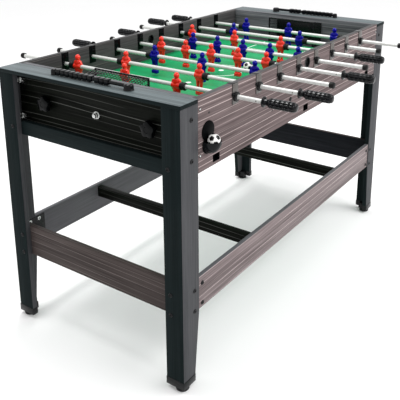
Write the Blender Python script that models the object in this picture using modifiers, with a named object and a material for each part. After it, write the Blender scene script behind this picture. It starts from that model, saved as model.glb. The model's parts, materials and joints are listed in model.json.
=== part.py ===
"""Multi game table: a foosball cabinet that turns over in a fixed stand.

Frame: +X along the table, -Y is the long side that faces the player, +Z up,
the origin on the floor under the middle of the table. All sizes are in metres.
"""
import math

import bmesh
import bpy
from mathutils import Matrix, Vector

# Whole table
TABLE_LENGTH = 1.220
TABLE_WIDTH = 0.600
TABLE_HEIGHT = 0.745
SEAT_GAP = 0.0003
RUN_GAP = 0.0008
CUT_OVERRUN = 0.0020
WELD = 0.00001

# Top boards of the end frames
TOP_BOARD_WIDTH = 0.0670
TOP_BOARD_THICKNESS = 0.0105
TOP_BOARD_OVERHANG = 0.0015

# Legs: an end board and a side board at right angles, on a plastic shoe
LEG_BOARD = 0.0150
LEG_END_WIDTH = 0.0530
LEG_SIDE_WIDTH = 0.0655
LEG_FOOT_WIDTH = 0.0460
SHOE_BOTTOM = 0.0120
SHOE_HEIGHT = 0.0200
SHOE_WALL = 0.0010
SHOE_CORE = 0.0360
LEVELER_INSET = 0.0190
LEVELER_RADIUS = 0.0175
LEVELER_DISC = 0.0085
LEVELER_STEM_RADIUS = 0.0050
LEVELER_STEM = 0.0140
LEG_TAPER_REACH_SHARE = 1.2

# Rails between the legs
STRETCHER_TOP = 0.2920
STRETCHER_HEIGHT = 0.0880
STRETCHER_THICKNESS = 0.0120
LONG_STRETCHER_RECESS = 0.0020
END_STRETCHER_THICKNESS = 0.0150
CROSS_BAR_INSET = 0.2680
CROSS_BAR_WIDTH = 0.0200
CROSS_BAR_HEIGHT = 0.0330
CROSS_BAR_DROP = 0.0070
END_RAIL_HEIGHT = 0.0375
END_RAIL_THICKNESS = 0.0150
END_PANEL_THICKNESS = 0.0145

# Cabinet walls and beds
WALL = 0.0150
APRON_HEIGHT = 0.1805
FIELD_DEPTH = 0.0950
FIELD_THICKNESS = 0.0065
POOL_FACE_DEPTH = 0.0350
POOL_BED_THICKNESS = 0.0065
CUSHION_WIDTH = 0.0280
CUSHION_NOSE_DROP = 0.0160
CUSHION_BACK_DROP = 0.0290
CUSHION_SINK = 0.0010
POCKET_RADIUS = 0.0240
POCKET_INSET = 0.0170
POCKET_END_INSET = 0.0582
POCKET_MOUTH = 0.0330
WINDOW_WIDTH = 0.0300
WINDOW_HEIGHT = 0.0200
WINDOW_RISE = 0.0070
SERVE_HOLE_RADIUS = 0.0145
SERVE_HOLE_DROP = 0.0280

# Pivot and lock knobs, at half the height of the cabinet
PIVOT_RADIUS = 0.0060
PIVOT_HOLE_PLAY = 0.0005
PIVOT_WASHER_RADIUS = 0.0135
PIVOT_WASHER = 0.0020
PIVOT_NUT_RADIUS = 0.0105
PIVOT_NUT = 0.0120
PIVOT_DOME_SHARES = ((0.50, 0.92), (0.88, 0.66), (1.00, 0.40))
KNOB_INSET = 0.1225
KNOB_RADIUS = 0.0225
KNOB_LOBE = 0.0035
KNOB_LOBES = 5
KNOB_HEAD = 0.0150
KNOB_HUB_RADIUS = 0.0110
KNOB_HUB = 0.0100
KNOB_STUD_RADIUS = 0.0040
KNOB_EDGE = 0.0025

# Rods
ROD_END_ROOM = 0.1387
ROD_DROP = 0.0330
ROD_RADIUS = 0.00575
ROD_PLAY = 0.0005
ROD_SLIDE_PLAY = 0.0001
ROD_HANDLE_END = 0.5180
ROD_TIP_END = 0.4150
ROD_CAP_RADIUS = 0.0085
ROD_CAP = 0.0140
BUMPER_RADIUS = 0.0105
BUMPER = 0.0150
BUMPER_OVERLAP_SHARE = 0.10
TRAVEL_GAP = 0.0040
HANDLE = 0.0900
HANDLE_RADIUS = 0.0125
HANDLE_OVERREACH = 0.0050
HANDLE_PROFILE_SHARES = (
    (0.60, 1.00), (0.95, 0.93), (1.00, 0.80), (0.94, 0.52), (1.00, 0.30), (0.70, 0.20),
    (0.70, 0.13), (0.92, 0.09), (0.92, 0.00))
SLEEVE_RADIUS = 0.0088
SLEEVE_FLANGE_RADIUS = 0.0125
SLEEVE_FLANGE = 0.0030
SLEEVE_PLAY = 0.0007
SADDLE_WIDTH = 0.0260
SADDLE_BELOW = 0.0190
SADDLE_PROUD = 0.0020
EAR_REACH = 0.0130
EAR_RADIUS = 0.0050
EAR_PROUD = 0.0060
EAR_HUB_RADIUS = 0.0120
EAR_TILT = math.radians(35)
EAR_WAIST = math.radians(60)

# Players
PLAYER_FOOT_REACH = 0.0545
PLAYER_HEAD_REACH = 0.0340
PLAYER_WIDTH = 0.0285
PLAYER_DEPTH = 0.0185
TWO_PLAYER_SPACING = 0.2620
THREE_PLAYER_SPACING = 0.1765
FIVE_PLAYER_SPACING = 0.0970
PLAYER_SECTION_SHARES = (
    (-1.00, 0.88, 0.60), (-0.79, 0.92, 0.80), (-0.68, 0.60, 0.54), (0.34, 1.00, 0.84),
    (0.55, 0.40, 0.46), (0.80, 0.54, 0.76), (1.00, 0.26, 0.36))

# Goals
GOAL_DEPTH = 0.0670
GOAL_HALF_WIDTH = 0.0930
GOAL_TOP_DROP = 0.0020
GOAL_BAR = 0.0065
GOAL_BACK = 0.0020
GOAL_BACK_HEIGHT = 0.0800
GOAL_STRAND = 0.0022
GOAL_STRANDS = 8
DROP_HOLE_WIDTH = 0.0700

# Ball returns: flange, scoop and the chute under the field
RETURN_INSET = 0.0232
FLANGE_RADIUS = 0.0310
FLANGE = 0.0030
FLANGE_RISE = 0.0318
COLLAR_RADIUS = 0.0225
SCOOP_RADIUS = 0.0235
SCOOP_WALL = 0.0022
SCOOP_REACH_SHARE = 1.30
SCOOP_DEPTH_SHARE = 1.70
CHUTE_WIDTH = 0.0400
CHUTE_WALL = 0.0015
CHUTE_END = 0.0450
NECK_RADIUS = 0.0180
RETURN_PLAY = 0.0003

# Score rails on the top boards
SCORE_HALF_LENGTH = 0.1330
SCORE_POST_RADIUS = 0.0095
SCORE_POST_HEIGHT = 0.0160
SCORE_POST_BASE = 0.0020
SCORE_WIRE_RADIUS = 0.0035
SCORE_WIRE_RISE = 0.0094
SCORE_BEADS = 11
SCORE_GAP_AFTER = 8
SCORE_BEAD_PITCH = 0.0155
SCORE_BEAD_RADIUS = 0.0088
SCORE_NECK_RADIUS = 0.0058
SCORE_BORE_PLAY = 0.0008
SCORE_BEAD_START_SHARE = 0.08
SCORE_BEAD_END_SHARE = 0.86

# Sides of the round pieces
ROD_SIDES = 8
HOLE_SIDES = 10
ROUND_SIDES = 12
WIRE_SIDES = 6
STRAND_SIDES = 4
PLAYER_SIDES = 6
KNOB_LOBE_STEPS = 4
ARC_STEPS = 3

# Rods from the near end: team, players, and the rest place as a share of the travel
ROD_ROWS = (("red", 3), ("red", 2), ("blue", 3), ("red", 5),
            ("blue", 5), ("red", 3), ("blue", 2), ("blue", 3))
ROD_REST_SHARES = (0.75, 0.18, -0.61, 0.0, -0.81, 0.77, 0.0, -0.41)

# Places that follow from the sizes
LEG_X = TABLE_LENGTH / 2 - TOP_BOARD_OVERHANG
LEG_Y = TABLE_WIDTH / 2 - TOP_BOARD_OVERHANG
LEG_TOP = TABLE_HEIGHT - TOP_BOARD_THICKNESS - SEAT_GAP
INNER_LEG_X = LEG_X - LEG_SIDE_WIDTH
BETWEEN_LEGS_Y = LEG_Y - LEG_BOARD - SEAT_GAP
STRETCHER_BOTTOM = STRETCHER_TOP - STRETCHER_HEIGHT
LONG_STRETCHER_Y = LEG_Y - LONG_STRETCHER_RECESS
CROSS_BAR_PLACE = INNER_LEG_X - CROSS_BAR_INSET
APRON_BOTTOM = TABLE_HEIGHT - APRON_HEIGHT
PIVOT_Z = TABLE_HEIGHT - APRON_HEIGHT / 2
CABINET_X = INNER_LEG_X - RUN_GAP
WALL_Y = LEG_Y
INNER_X = CABINET_X - WALL
INNER_Y = WALL_Y - WALL
PANEL_INNER_X = INNER_LEG_X
KNOB_PLACE = WALL_Y - KNOB_INSET
RETURN_PLACE = INNER_X - RETURN_INSET
POCKET_PLACE = INNER_X - POCKET_END_INSET
ROD_Z = TABLE_HEIGHT - ROD_DROP
ROD_PITCH = 2 * (INNER_X - ROD_END_ROOM) / (len(ROD_ROWS) - 1)
POOL_FACE = APRON_BOTTOM + POOL_FACE_DEPTH
POOL_TOP = POOL_FACE + POOL_BED_THICKNESS
FIELD_TOP = TABLE_HEIGHT - FIELD_DEPTH
FIELD_BOTTOM = FIELD_TOP - FIELD_THICKNESS
SLEEVE_HOLE_RADIUS = SLEEVE_RADIUS + SLEEVE_PLAY
ROD_HOLE_RADIUS = ROD_RADIUS + ROD_PLAY
SCORE_X = TABLE_LENGTH / 2 - TOP_BOARD_WIDTH / 2
HANDLE_START = ROD_HANDLE_END + HANDLE_OVERREACH - HANDLE
NECK_Z = (POOL_TOP + FIELD_BOTTOM) / 2

TABLE = "multi_game_table"
CUTTERS = "cutters"
UP = Vector((0, 0, 1))


def clear_scene():
    for obj in list(bpy.data.objects):
        bpy.data.objects.remove(obj, do_unlink=True)


def collection(name):
    group = bpy.data.collections.get(name)
    if group is None:
        group = bpy.data.collections.new(name)
        bpy.context.scene.collection.children.link(group)
    return group


def material(name, colour, roughness, metallic=0.0):
    made = bpy.data.materials.get(name)
    if made is None:
        made = bpy.data.materials.new(name)
        made.use_nodes = True
        shader = made.node_tree.nodes["Principled BSDF"]
        shader.inputs["Base Color"].default_value = (*colour, 1)
        shader.inputs["Roughness"].default_value = roughness
        shader.inputs["Metallic"].default_value = metallic
        made.diffuse_color = (*colour, 1)
    return made


def grey_wood():
    return material("grey_woodgrain", (0.16, 0.16, 0.17), 0.5)


def brown_wood():
    return material("driftwood", (0.20, 0.16, 0.15), 0.55)


def black_wood():
    return material("black_woodgrain", (0.02, 0.02, 0.02), 0.45)


def black_plastic():
    return material("black_plastic", (0.012, 0.012, 0.014), 0.35)


def steel():
    return material("chromed_steel", (0.75, 0.75, 0.76), 0.2, 1.0)


def add_object(name, mesh, finish, group=TABLE, parent=None, location=(0, 0, 0), turn=(0, 0, 0)):
    """Place a mesh as a named object, its location given in the world."""
    obj = bpy.data.objects.new(name, mesh)
    collection(group).objects.link(obj)
    place = Vector(location)
    if parent is not None:
        obj.parent = parent
        place = place - world_place(parent)
    obj.location = place
    obj.rotation_euler = turn
    if finish is not None:
        mesh.materials.append(finish)
    return obj


def world_place(obj):
    place = obj.location.copy()
    if obj.parent is not None:
        place += world_place(obj.parent)
    return place


def add_empty(name, location, parent=None):
    empty = bpy.data.objects.new(name, None)
    collection(TABLE).objects.link(empty)
    place = Vector(location)
    if parent is not None:
        empty.parent = parent
        place = place - world_place(parent)
    empty.location = place
    return empty


def mesh_from(bm, name):
    """Close a bmesh into a mesh with its faces turned outwards."""
    bmesh.ops.recalc_face_normals(bm, faces=list(bm.faces))
    mesh = bpy.data.meshes.new(name)
    bm.to_mesh(mesh)
    bm.free()
    return mesh


def add_box(bm, low, high):
    """A box between two corners."""
    low, high = Vector(low), Vector(high)
    size = high - low
    place = Matrix.Translation((low + high) / 2) @ Matrix.Diagonal((*size, 1))
    bmesh.ops.create_cube(bm, size=1, matrix=place)


def add_cylinder(bm, centre, axis, radius, length, sides, end_radius=None):
    """A cylinder or cone about a centre, along an axis vector."""
    turn = UP.rotation_difference(Vector(axis)).to_matrix().to_4x4()
    bmesh.ops.create_cone(
        bm, cap_ends=True, segments=sides, radius1=radius,
        radius2=radius if end_radius is None else end_radius, depth=length,
        matrix=Matrix.Translation(centre) @ turn)


def add_mesh(bm, mesh, place):
    """Add a placed copy of a mesh to a bmesh."""
    before = set(bm.verts)
    bm.from_mesh(mesh)
    bmesh.ops.transform(bm, matrix=place, verts=[v for v in bm.verts if v not in before])


def outline_mesh(name, points, thickness):
    """A filled flat outline in XY with a thickness about Z, as a welded mesh."""
    curve = bpy.data.curves.new(name, "CURVE")
    curve.dimensions = "2D"
    curve.fill_mode = "BOTH"
    curve.extrude = thickness / 2
    spline = curve.splines.new("POLY")
    spline.points.add(len(points) - 1)
    for point, (x, y) in zip(spline.points, points):
        point.co = (x, y, 0, 1)
    spline.use_cyclic_u = True
    flat = bpy.data.objects.new(name, curve)
    collection(CUTTERS).objects.link(flat)
    graph = bpy.context.evaluated_depsgraph_get()
    mesh = bpy.data.meshes.new_from_object(flat.evaluated_get(graph))
    bpy.data.objects.remove(flat, do_unlink=True)
    bm = bmesh.new()
    bm.from_mesh(mesh)
    bmesh.ops.remove_doubles(bm, verts=list(bm.verts), dist=WELD)
    bmesh.ops.recalc_face_normals(bm, faces=list(bm.faces))
    bm.to_mesh(mesh)
    bm.free()
    return mesh


def turned(name, profile, sides, finish, parent=None, location=(0, 0, 0), turn=(0, 0, 0)):
    """Turn (radius, height) points about the object's Z: a solid from the axis, or a tube."""
    bm = bmesh.new()
    rows = [bm.verts.new((radius, 0, height)) for radius, height in profile]
    pairs = list(zip(rows, rows[1:]))
    if profile[0][0] > 0:
        pairs.append((rows[-1], rows[0]))
    for pair in pairs:
        bm.edges.new(pair)
    group = CUTTERS if finish is None else TABLE
    obj = add_object(name, mesh_from(bm, name), finish, group, parent, location, turn)
    screw = obj.modifiers.new("turned", "SCREW")
    screw.steps = sides
    screw.render_steps = sides
    screw.use_merge_vertices = True
    screw.merge_threshold = WELD
    if finish is None:
        hide(obj)
    return obj


def add_loft(bm, sections, sides, place):
    """Join elliptical sections (height, half width, half depth) into one closed form."""
    rings = []
    for height, half_width, half_depth in sections:
        ring = []
        for index in range(sides):
            angle = math.tau * (index + 0.5) / sides
            ring.append(bm.verts.new((half_depth * math.cos(angle),
                                      half_width * math.sin(angle), height)))
        rings.append(ring)
    for low, high in zip(rings, rings[1:]):
        for index in range(sides):
            after = (index + 1) % sides
            bm.faces.new((low[index], low[after], high[after], high[index]))
    bm.faces.new(list(reversed(rings[0])))
    bm.faces.new(rings[-1])
    bmesh.ops.transform(bm, matrix=place, verts=[vert for ring in rings for vert in ring])


def hide(obj):
    """A cutter or a joined shape is kept apart from the parts, and not rendered."""
    obj.hide_render = True
    obj.display_type = "WIRE"


def tool(name, shape, location=(0, 0, 0), turn=(0, 0, 0)):
    """A cutter or a joined shape, from a mesh or a bmesh."""
    mesh = mesh_from(shape, name) if isinstance(shape, bmesh.types.BMesh) else shape
    obj = add_object(name, mesh, None, CUTTERS, None, location, turn)
    hide(obj)
    return obj


def boolean(target, other, operation):
    modifier = target.modifiers.new(operation.lower(), "BOOLEAN")
    modifier.operation = operation
    modifier.solver = "EXACT"
    modifier.object = other


def cut(target, other):
    boolean(target, other, "DIFFERENCE")


def fuse(target, other):
    boolean(target, other, "UNION")


def plain_box(name, low, high, finish, parent=None):
    """A box as an object whose origin is the box's middle."""
    middle = (Vector(low) + Vector(high)) / 2
    bm = bmesh.new()
    add_box(bm, Vector(low) - middle, Vector(high) - middle)
    return add_object(name, mesh_from(bm, name), finish, TABLE, parent, middle)


def end_name(end):
    return "near" if end < 0 else "far"


def side_name(side):
    return "front" if side < 0 else "back"


def build_leg(end, side):
    """Two boards at right angles in a plastic shoe, the side board tapered to its foot."""
    name = f"leg_{end_name(end)}_{side_name(side)}"
    base = SHOE_BOTTOM + SHOE_WALL

    def corner_outline(points, grow=0):
        return [(end * (LEG_X + grow - x), side * (LEG_Y + grow - y)) for x, y in points]

    boards = ((0, 0), (LEG_SIDE_WIDTH, 0), (LEG_SIDE_WIDTH, LEG_BOARD),
              (LEG_BOARD, LEG_BOARD), (LEG_BOARD, LEG_END_WIDTH), (0, LEG_END_WIDTH))
    leg = add_object(name, outline_mesh(name, corner_outline(boards), LEG_TOP - base),
                     grey_wood(), location=(0, 0, (LEG_TOP + base) / 2))

    foot = Vector((end * (LEG_X - LEG_FOOT_WIDTH), SHOE_BOTTOM + SHOE_HEIGHT / 2))
    start = Vector((end * INNER_LEG_X, STRETCHER_BOTTOM))
    outline = [foot.lerp(start, LEG_TAPER_REACH_SHARE), foot, (foot.x, 0),
               (end * (INNER_LEG_X - LEG_BOARD), 0)]
    cut(leg, tool(name + "_taper", outline_mesh(name + "_taper", outline, 4 * LEG_BOARD),
                  (0, side * LEG_Y, 0), (math.pi / 2, 0, 0)))

    reach = 2 * SHOE_WALL
    shoe = ((0, 0), (LEG_FOOT_WIDTH + reach, 0), (LEG_FOOT_WIDTH + reach, LEG_BOARD + reach),
            (SHOE_CORE, LEG_BOARD + reach), (SHOE_CORE, SHOE_CORE),
            (LEG_BOARD + reach, SHOE_CORE), (LEG_BOARD + reach, LEG_END_WIDTH + reach),
            (0, LEG_END_WIDTH + reach))
    shoe_mesh = outline_mesh(name + "_shoe", corner_outline(shoe, SHOE_WALL), SHOE_HEIGHT)
    fuse(leg, tool(name + "_shoe", shoe_mesh, (0, 0, SHOE_BOTTOM + SHOE_HEIGHT / 2)))
    bm = bmesh.new()
    stem_hole = SHOE_HEIGHT - SHOE_WALL
    add_cylinder(bm, (end * (LEG_X - LEVELER_INSET), side * (LEG_Y - LEVELER_INSET),
                      SHOE_BOTTOM + stem_hole / 2 - CUT_OVERRUN / 2), UP,
                 LEVELER_STEM_RADIUS + PIVOT_HOLE_PLAY, stem_hole + CUT_OVERRUN, HOLE_SIDES)
    cut(leg, tool(name + "_stem_hole", bm))


def build_leveler(end, side):
    """A round foot on a stem that screws up into the shoe."""
    disc = SHOE_BOTTOM - SEAT_GAP - LEVELER_DISC
    profile = [(0, LEVELER_DISC + disc + LEVELER_STEM),
               (LEVELER_STEM_RADIUS, LEVELER_DISC + disc + LEVELER_STEM),
               (LEVELER_STEM_RADIUS, LEVELER_DISC + disc),
               (LEVELER_RADIUS - disc, LEVELER_DISC),
               (LEVELER_RADIUS, LEVELER_DISC / 2), (LEVELER_RADIUS - disc / 2, 0), (0, 0)]
    turned(f"leveler_{end_name(end)}_{side_name(side)}", profile, ROUND_SIDES, black_plastic(),
           location=(end * (LEG_X - LEVELER_INSET), side * (LEG_Y - LEVELER_INSET), 0))


def build_end_frame(end):
    """Top board with its score rail, panel, lower rail and stretcher of one end."""
    name = end_name(end)
    across = BETWEEN_LEGS_Y
    behind_end_boards = LEG_X - LEG_BOARD - SEAT_GAP

    def between(label, x_out, x_in, z_low, z_high, finish):
        xs = sorted((end * x_out, end * x_in))
        return plain_box(label, (xs[0], -across, z_low), (xs[1], across, z_high), finish)

    xs = sorted((end * TABLE_LENGTH / 2, end * (TABLE_LENGTH / 2 - TOP_BOARD_WIDTH)))
    board = plain_box(f"top_board_{name}",
                      (xs[0], -TABLE_WIDTH / 2, TABLE_HEIGHT - TOP_BOARD_THICKNESS),
                      (xs[1], TABLE_WIDTH / 2, TABLE_HEIGHT), grey_wood())
    add_score_rail(board, end)

    between(f"end_rail_{name}", behind_end_boards, behind_end_boards - END_RAIL_THICKNESS,
            APRON_BOTTOM, APRON_BOTTOM + END_RAIL_HEIGHT, black_plastic())
    between(f"end_stretcher_{name}", behind_end_boards,
            behind_end_boards - END_STRETCHER_THICKNESS,
            STRETCHER_BOTTOM, STRETCHER_TOP, brown_wood())
    panel = between(f"end_panel_{name}", PANEL_INNER_X + END_PANEL_THICKNESS, PANEL_INNER_X,
                    APRON_BOTTOM, LEG_TOP, black_wood())
    bm = bmesh.new()
    middle_x = end * (PANEL_INNER_X + END_PANEL_THICKNESS / 2)
    through = END_PANEL_THICKNESS + 2 * CUT_OVERRUN
    add_cylinder(bm, (middle_x, 0, PIVOT_Z), (1, 0, 0), PIVOT_RADIUS + PIVOT_HOLE_PLAY,
                 through, HOLE_SIDES)
    for side in (-1, 1):
        add_cylinder(bm, (middle_x, side * KNOB_PLACE, PIVOT_Z), (1, 0, 0),
                     KNOB_STUD_RADIUS + PIVOT_HOLE_PLAY, through, HOLE_SIDES)
    cut(panel, tool(f"end_panel_{name}_holes", bm))


def add_score_rail(board, end):
    """Two posts and a wire, screwed to the top board."""
    bm = bmesh.new()
    x = end * SCORE_X
    for side in (-1, 1):
        post_y = side * (SCORE_HALF_LENGTH - SCORE_POST_RADIUS)
        sunk = SCORE_POST_HEIGHT + SCORE_POST_BASE
        add_cylinder(bm, (x, post_y, TABLE_HEIGHT + SCORE_POST_HEIGHT - sunk / 2), UP,
                     SCORE_POST_RADIUS, sunk, ROD_SIDES)
    fuse(board, tool(f"score_posts_{end_name(end)}", bm))
    bm = bmesh.new()
    add_cylinder(bm, (x, 0, TABLE_HEIGHT + SCORE_WIRE_RISE), (0, 1, 0), SCORE_WIRE_RADIUS,
                 2 * (SCORE_HALF_LENGTH - SCORE_POST_RADIUS), WIRE_SIDES)
    fuse(board, tool(f"score_wire_{end_name(end)}", bm))


def build_score_beads(end):
    """A row of ribbed counters threaded on the wire, turned as one sleeve."""
    bore = SCORE_WIRE_RADIUS + SCORE_BORE_PLAY
    place = SCORE_HALF_LENGTH - 2 * SCORE_POST_RADIUS - TRAVEL_GAP / 2
    outer = []
    for index in range(SCORE_BEADS):
        if index == SCORE_GAP_AFTER:
            place -= SCORE_BEAD_PITCH / 2
        high = place - SCORE_BEAD_PITCH * SCORE_BEAD_START_SHARE
        low = place - SCORE_BEAD_PITCH * SCORE_BEAD_END_SHARE
        outer += [(SCORE_NECK_RADIUS, place), (SCORE_BEAD_RADIUS, high), (SCORE_BEAD_RADIUS, low)]
        place -= SCORE_BEAD_PITCH
    outer.append((SCORE_NECK_RADIUS, place))
    profile = outer + [(bore, outer[-1][1]), (bore, outer[0][1])]
    turned(f"score_beads_{end_name(end)}", profile, WIRE_SIDES, black_plastic(),
           location=(end * SCORE_X, 0, TABLE_HEIGHT + SCORE_WIRE_RISE),
           turn=(end * math.pi / 2, 0, 0))


def build_long_stretcher(side):
    ys = sorted((side * LONG_STRETCHER_Y, side * (LONG_STRETCHER_Y - STRETCHER_THICKNESS)))
    reach = INNER_LEG_X - SEAT_GAP
    plain_box(f"long_stretcher_{side_name(side)}", (-reach, ys[0], STRETCHER_BOTTOM),
              (reach, ys[1], STRETCHER_TOP), brown_wood())


def build_cross_bar(end):
    reach = LONG_STRETCHER_Y - STRETCHER_THICKNESS - SEAT_GAP
    top = STRETCHER_TOP - CROSS_BAR_DROP
    middle = end * CROSS_BAR_PLACE
    plain_box(f"cross_bar_{end_name(end)}",
              (middle - CROSS_BAR_WIDTH / 2, -reach, top - CROSS_BAR_HEIGHT),
              (middle + CROSS_BAR_WIDTH / 2, reach, top), black_plastic())


def build_lock_knob(end, side):
    """A lobed knob on a hub, with a stud through the end panel."""
    outline = []
    for index in range(KNOB_LOBES * KNOB_LOBE_STEPS):
        angle = math.tau * index / (KNOB_LOBES * KNOB_LOBE_STEPS)
        radius = KNOB_RADIUS - KNOB_LOBE * (1 - math.cos(KNOB_LOBES * angle)) / 2
        outline.append((radius * math.cos(angle), radius * math.sin(angle)))
    name = f"lock_knob_{end_name(end)}_{side_name(side)}"
    outward = (0, end * math.pi / 2, 0)
    face = PANEL_INNER_X + END_PANEL_THICKNESS + SEAT_GAP
    middle = KNOB_HUB + KNOB_HEAD / 2
    knob = add_object(name, outline_mesh(name, outline, KNOB_HEAD), black_plastic(),
                      location=(end * (face + middle), side * KNOB_PLACE, PIVOT_Z), turn=outward)
    edge = knob.modifiers.new("rounded_edge", "BEVEL")
    edge.width = KNOB_EDGE
    edge.segments = 1
    edge.limit_method = "ANGLE"
    edge.angle_limit = math.radians(60)
    stud_tip = -END_PANEL_THICKNESS - SEAT_GAP
    profile = [(0, middle), (KNOB_HUB_RADIUS, middle), (KNOB_HUB_RADIUS, 0),
               (KNOB_STUD_RADIUS, 0), (KNOB_STUD_RADIUS, stud_tip), (0, stud_tip)]
    fuse(knob, turned(name + "_hub", profile, ROD_SIDES, None,
                      location=(end * face, side * KNOB_PLACE, PIVOT_Z), turn=outward))


def build_end_wall(end, cabinet):
    """The cabinet's end wall with its pivot bolt, washer and cap nut."""
    reach = INNER_Y - SEAT_GAP
    xs = sorted((end * CABINET_X, end * INNER_X))
    name = f"cabinet_end_wall_{end_name(end)}"
    wall = plain_box(name, (xs[0], -reach, APRON_BOTTOM), (xs[1], reach, TABLE_HEIGHT),
                     grey_wood(), cabinet)
    washer = PANEL_INNER_X + END_PANEL_THICKNESS + SEAT_GAP
    nut = washer + PIVOT_WASHER
    profile = [(0, nut + PIVOT_NUT)]
    profile += [(PIVOT_NUT_RADIUS * radius, nut + PIVOT_NUT * height)
                for radius, height in PIVOT_DOME_SHARES]
    profile += [(PIVOT_NUT_RADIUS, nut), (PIVOT_WASHER_RADIUS, nut),
                (PIVOT_WASHER_RADIUS, washer), (PIVOT_RADIUS, washer),
                (PIVOT_RADIUS, INNER_X + WALL / 2), (0, INNER_X + WALL / 2)]
    fuse(wall, turned(name + "_pivot", profile, HOLE_SIDES, None,
                      location=(0, 0, PIVOT_Z), turn=(0, end * math.pi / 2, 0)))


def rod_x(index):
    return (index - (len(ROD_ROWS) - 1) / 2) * ROD_PITCH


def handle_side(index):
    """Red handles are at the front, blue ones at the back."""
    return -1 if ROD_ROWS[index][0] == "red" else 1


def player_spacing(players):
    """The distance between the players of a rod that carries two, three or five."""
    spacings = {2: TWO_PLAYER_SPACING, 3: THREE_PLAYER_SPACING, 5: FIVE_PLAYER_SPACING}
    return spacings[players]


def rod_travel(players):
    """How far a rod slides each way: to its rubber bumpers, or to its end cap."""
    outermost = player_spacing(players) * (players - 1) / 2
    to_bumper = INNER_Y - SADDLE_PROUD - outermost - PLAYER_WIDTH / 2 - BUMPER - TRAVEL_GAP / 2
    to_cap = ROD_TIP_END - ROD_CAP - WALL_Y - EAR_PROUD - TRAVEL_GAP / 2
    return min(to_bumper, to_cap)


def rod_rest(index):
    return ROD_REST_SHARES[index] * rod_travel(ROD_ROWS[index][1])


def build_side_wall(side, cabinet):
    """A long wall with the rods' saddles, the serve hole, the return and the windows."""
    name = f"cabinet_side_wall_{side_name(side)}"
    ys = sorted((side * WALL_Y, side * INNER_Y))
    wall = plain_box(name, (-CABINET_X, ys[0], APRON_BOTTOM), (CABINET_X, ys[1], TABLE_HEIGHT),
                     brown_wood(), cabinet)
    middle_y = side * (WALL_Y - WALL / 2)
    saddles = bmesh.new()
    ears = bmesh.new()
    ear_depth = EAR_PROUD + WALL / 2
    ear = outline_mesh(name + "_ear", ear_outline(), ear_depth)
    upright = (Matrix.Translation((0, side * (WALL_Y - WALL / 2 + ear_depth / 2), ROD_Z))
               @ Matrix.Rotation(math.pi / 2, 4, "X") @ Matrix.Rotation(EAR_TILT, 4, "Z"))
    for index in range(len(ROD_ROWS)):
        x = rod_x(index)
        add_box(saddles, (x - SADDLE_WIDTH / 2, middle_y - WALL / 2 - SADDLE_PROUD,
                          ROD_Z - SADDLE_BELOW),
                (x + SADDLE_WIDTH / 2, middle_y + WALL / 2 + SADDLE_PROUD, TABLE_HEIGHT))
        add_mesh(ears, ear, Matrix.Translation((x, 0, 0)) @ upright)
    fuse(wall, tool(name + "_saddles", saddles))
    fuse(wall, tool(name + "_ears", ears))

    holes = bmesh.new()
    through = WALL + 2 * EAR_PROUD + 2 * CUT_OVERRUN
    for index in range(len(ROD_ROWS)):
        held = handle_side(index) == side
        add_cylinder(holes, (rod_x(index), middle_y, ROD_Z), (0, 1, 0),
                     SLEEVE_HOLE_RADIUS if held else ROD_HOLE_RADIUS, through, HOLE_SIDES)
    add_cylinder(holes, (0, middle_y, TABLE_HEIGHT - SERVE_HOLE_DROP), (0, 1, 0),
                 SERVE_HOLE_RADIUS, through, HOLE_SIDES)
    for place in (-POCKET_PLACE, 0, POCKET_PLACE):
        add_box(holes, (place - WINDOW_WIDTH / 2, middle_y - through / 2,
                        APRON_BOTTOM + WINDOW_RISE),
                (place + WINDOW_WIDTH / 2, middle_y + through / 2,
                 APRON_BOTTOM + WINDOW_RISE + WINDOW_HEIGHT))
    add_cylinder(holes, (side * RETURN_PLACE, middle_y, NECK_Z), (0, 1, 0),
                 NECK_RADIUS + RETURN_PLAY, through, ROUND_SIDES)
    cut(wall, tool(name + "_holes", holes))


def ear_outline():
    """The outer bearing plate: a round hub between two screw ears."""
    lobes = (((EAR_REACH, 0), EAR_RADIUS, 0), ((0, 0), EAR_HUB_RADIUS, math.pi / 2),
             ((-EAR_REACH, 0), EAR_RADIUS, math.pi), ((0, 0), EAR_HUB_RADIUS, -math.pi / 2))
    outline = []
    for centre, radius, facing in lobes:
        spread = EAR_WAIST if centre[0] else math.pi / 2 - EAR_WAIST
        for step in range(ARC_STEPS):
            angle = facing + spread * (2 * step / (ARC_STEPS - 1) - 1)
            outline.append((centre[0] + radius * math.cos(angle), radius * math.sin(angle)))
    return outline


def build_field(cabinet):
    """The green playing board, with a drop hole inside each goal."""
    field = plain_box("foosball_field",
                      (-INNER_X + SEAT_GAP, -INNER_Y + SEAT_GAP, FIELD_BOTTOM),
                      (INNER_X - SEAT_GAP, INNER_Y - SEAT_GAP, FIELD_TOP),
                      material("field_green", (0.02, 0.35, 0.16), 0.5), cabinet)
    holes = bmesh.new()
    for end in (-1, 1):
        xs = sorted(end * (RETURN_PLACE + shift * (CHUTE_WIDTH / 2 - CHUTE_WALL))
                    for shift in (-1, 1))
        add_box(holes, (xs[0], -DROP_HOLE_WIDTH / 2, FIELD_BOTTOM - CUT_OVERRUN),
                (xs[1], DROP_HOLE_WIDTH / 2, FIELD_TOP + CUT_OVERRUN))
    cut(field, tool("field_drop_holes", holes))


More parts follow.
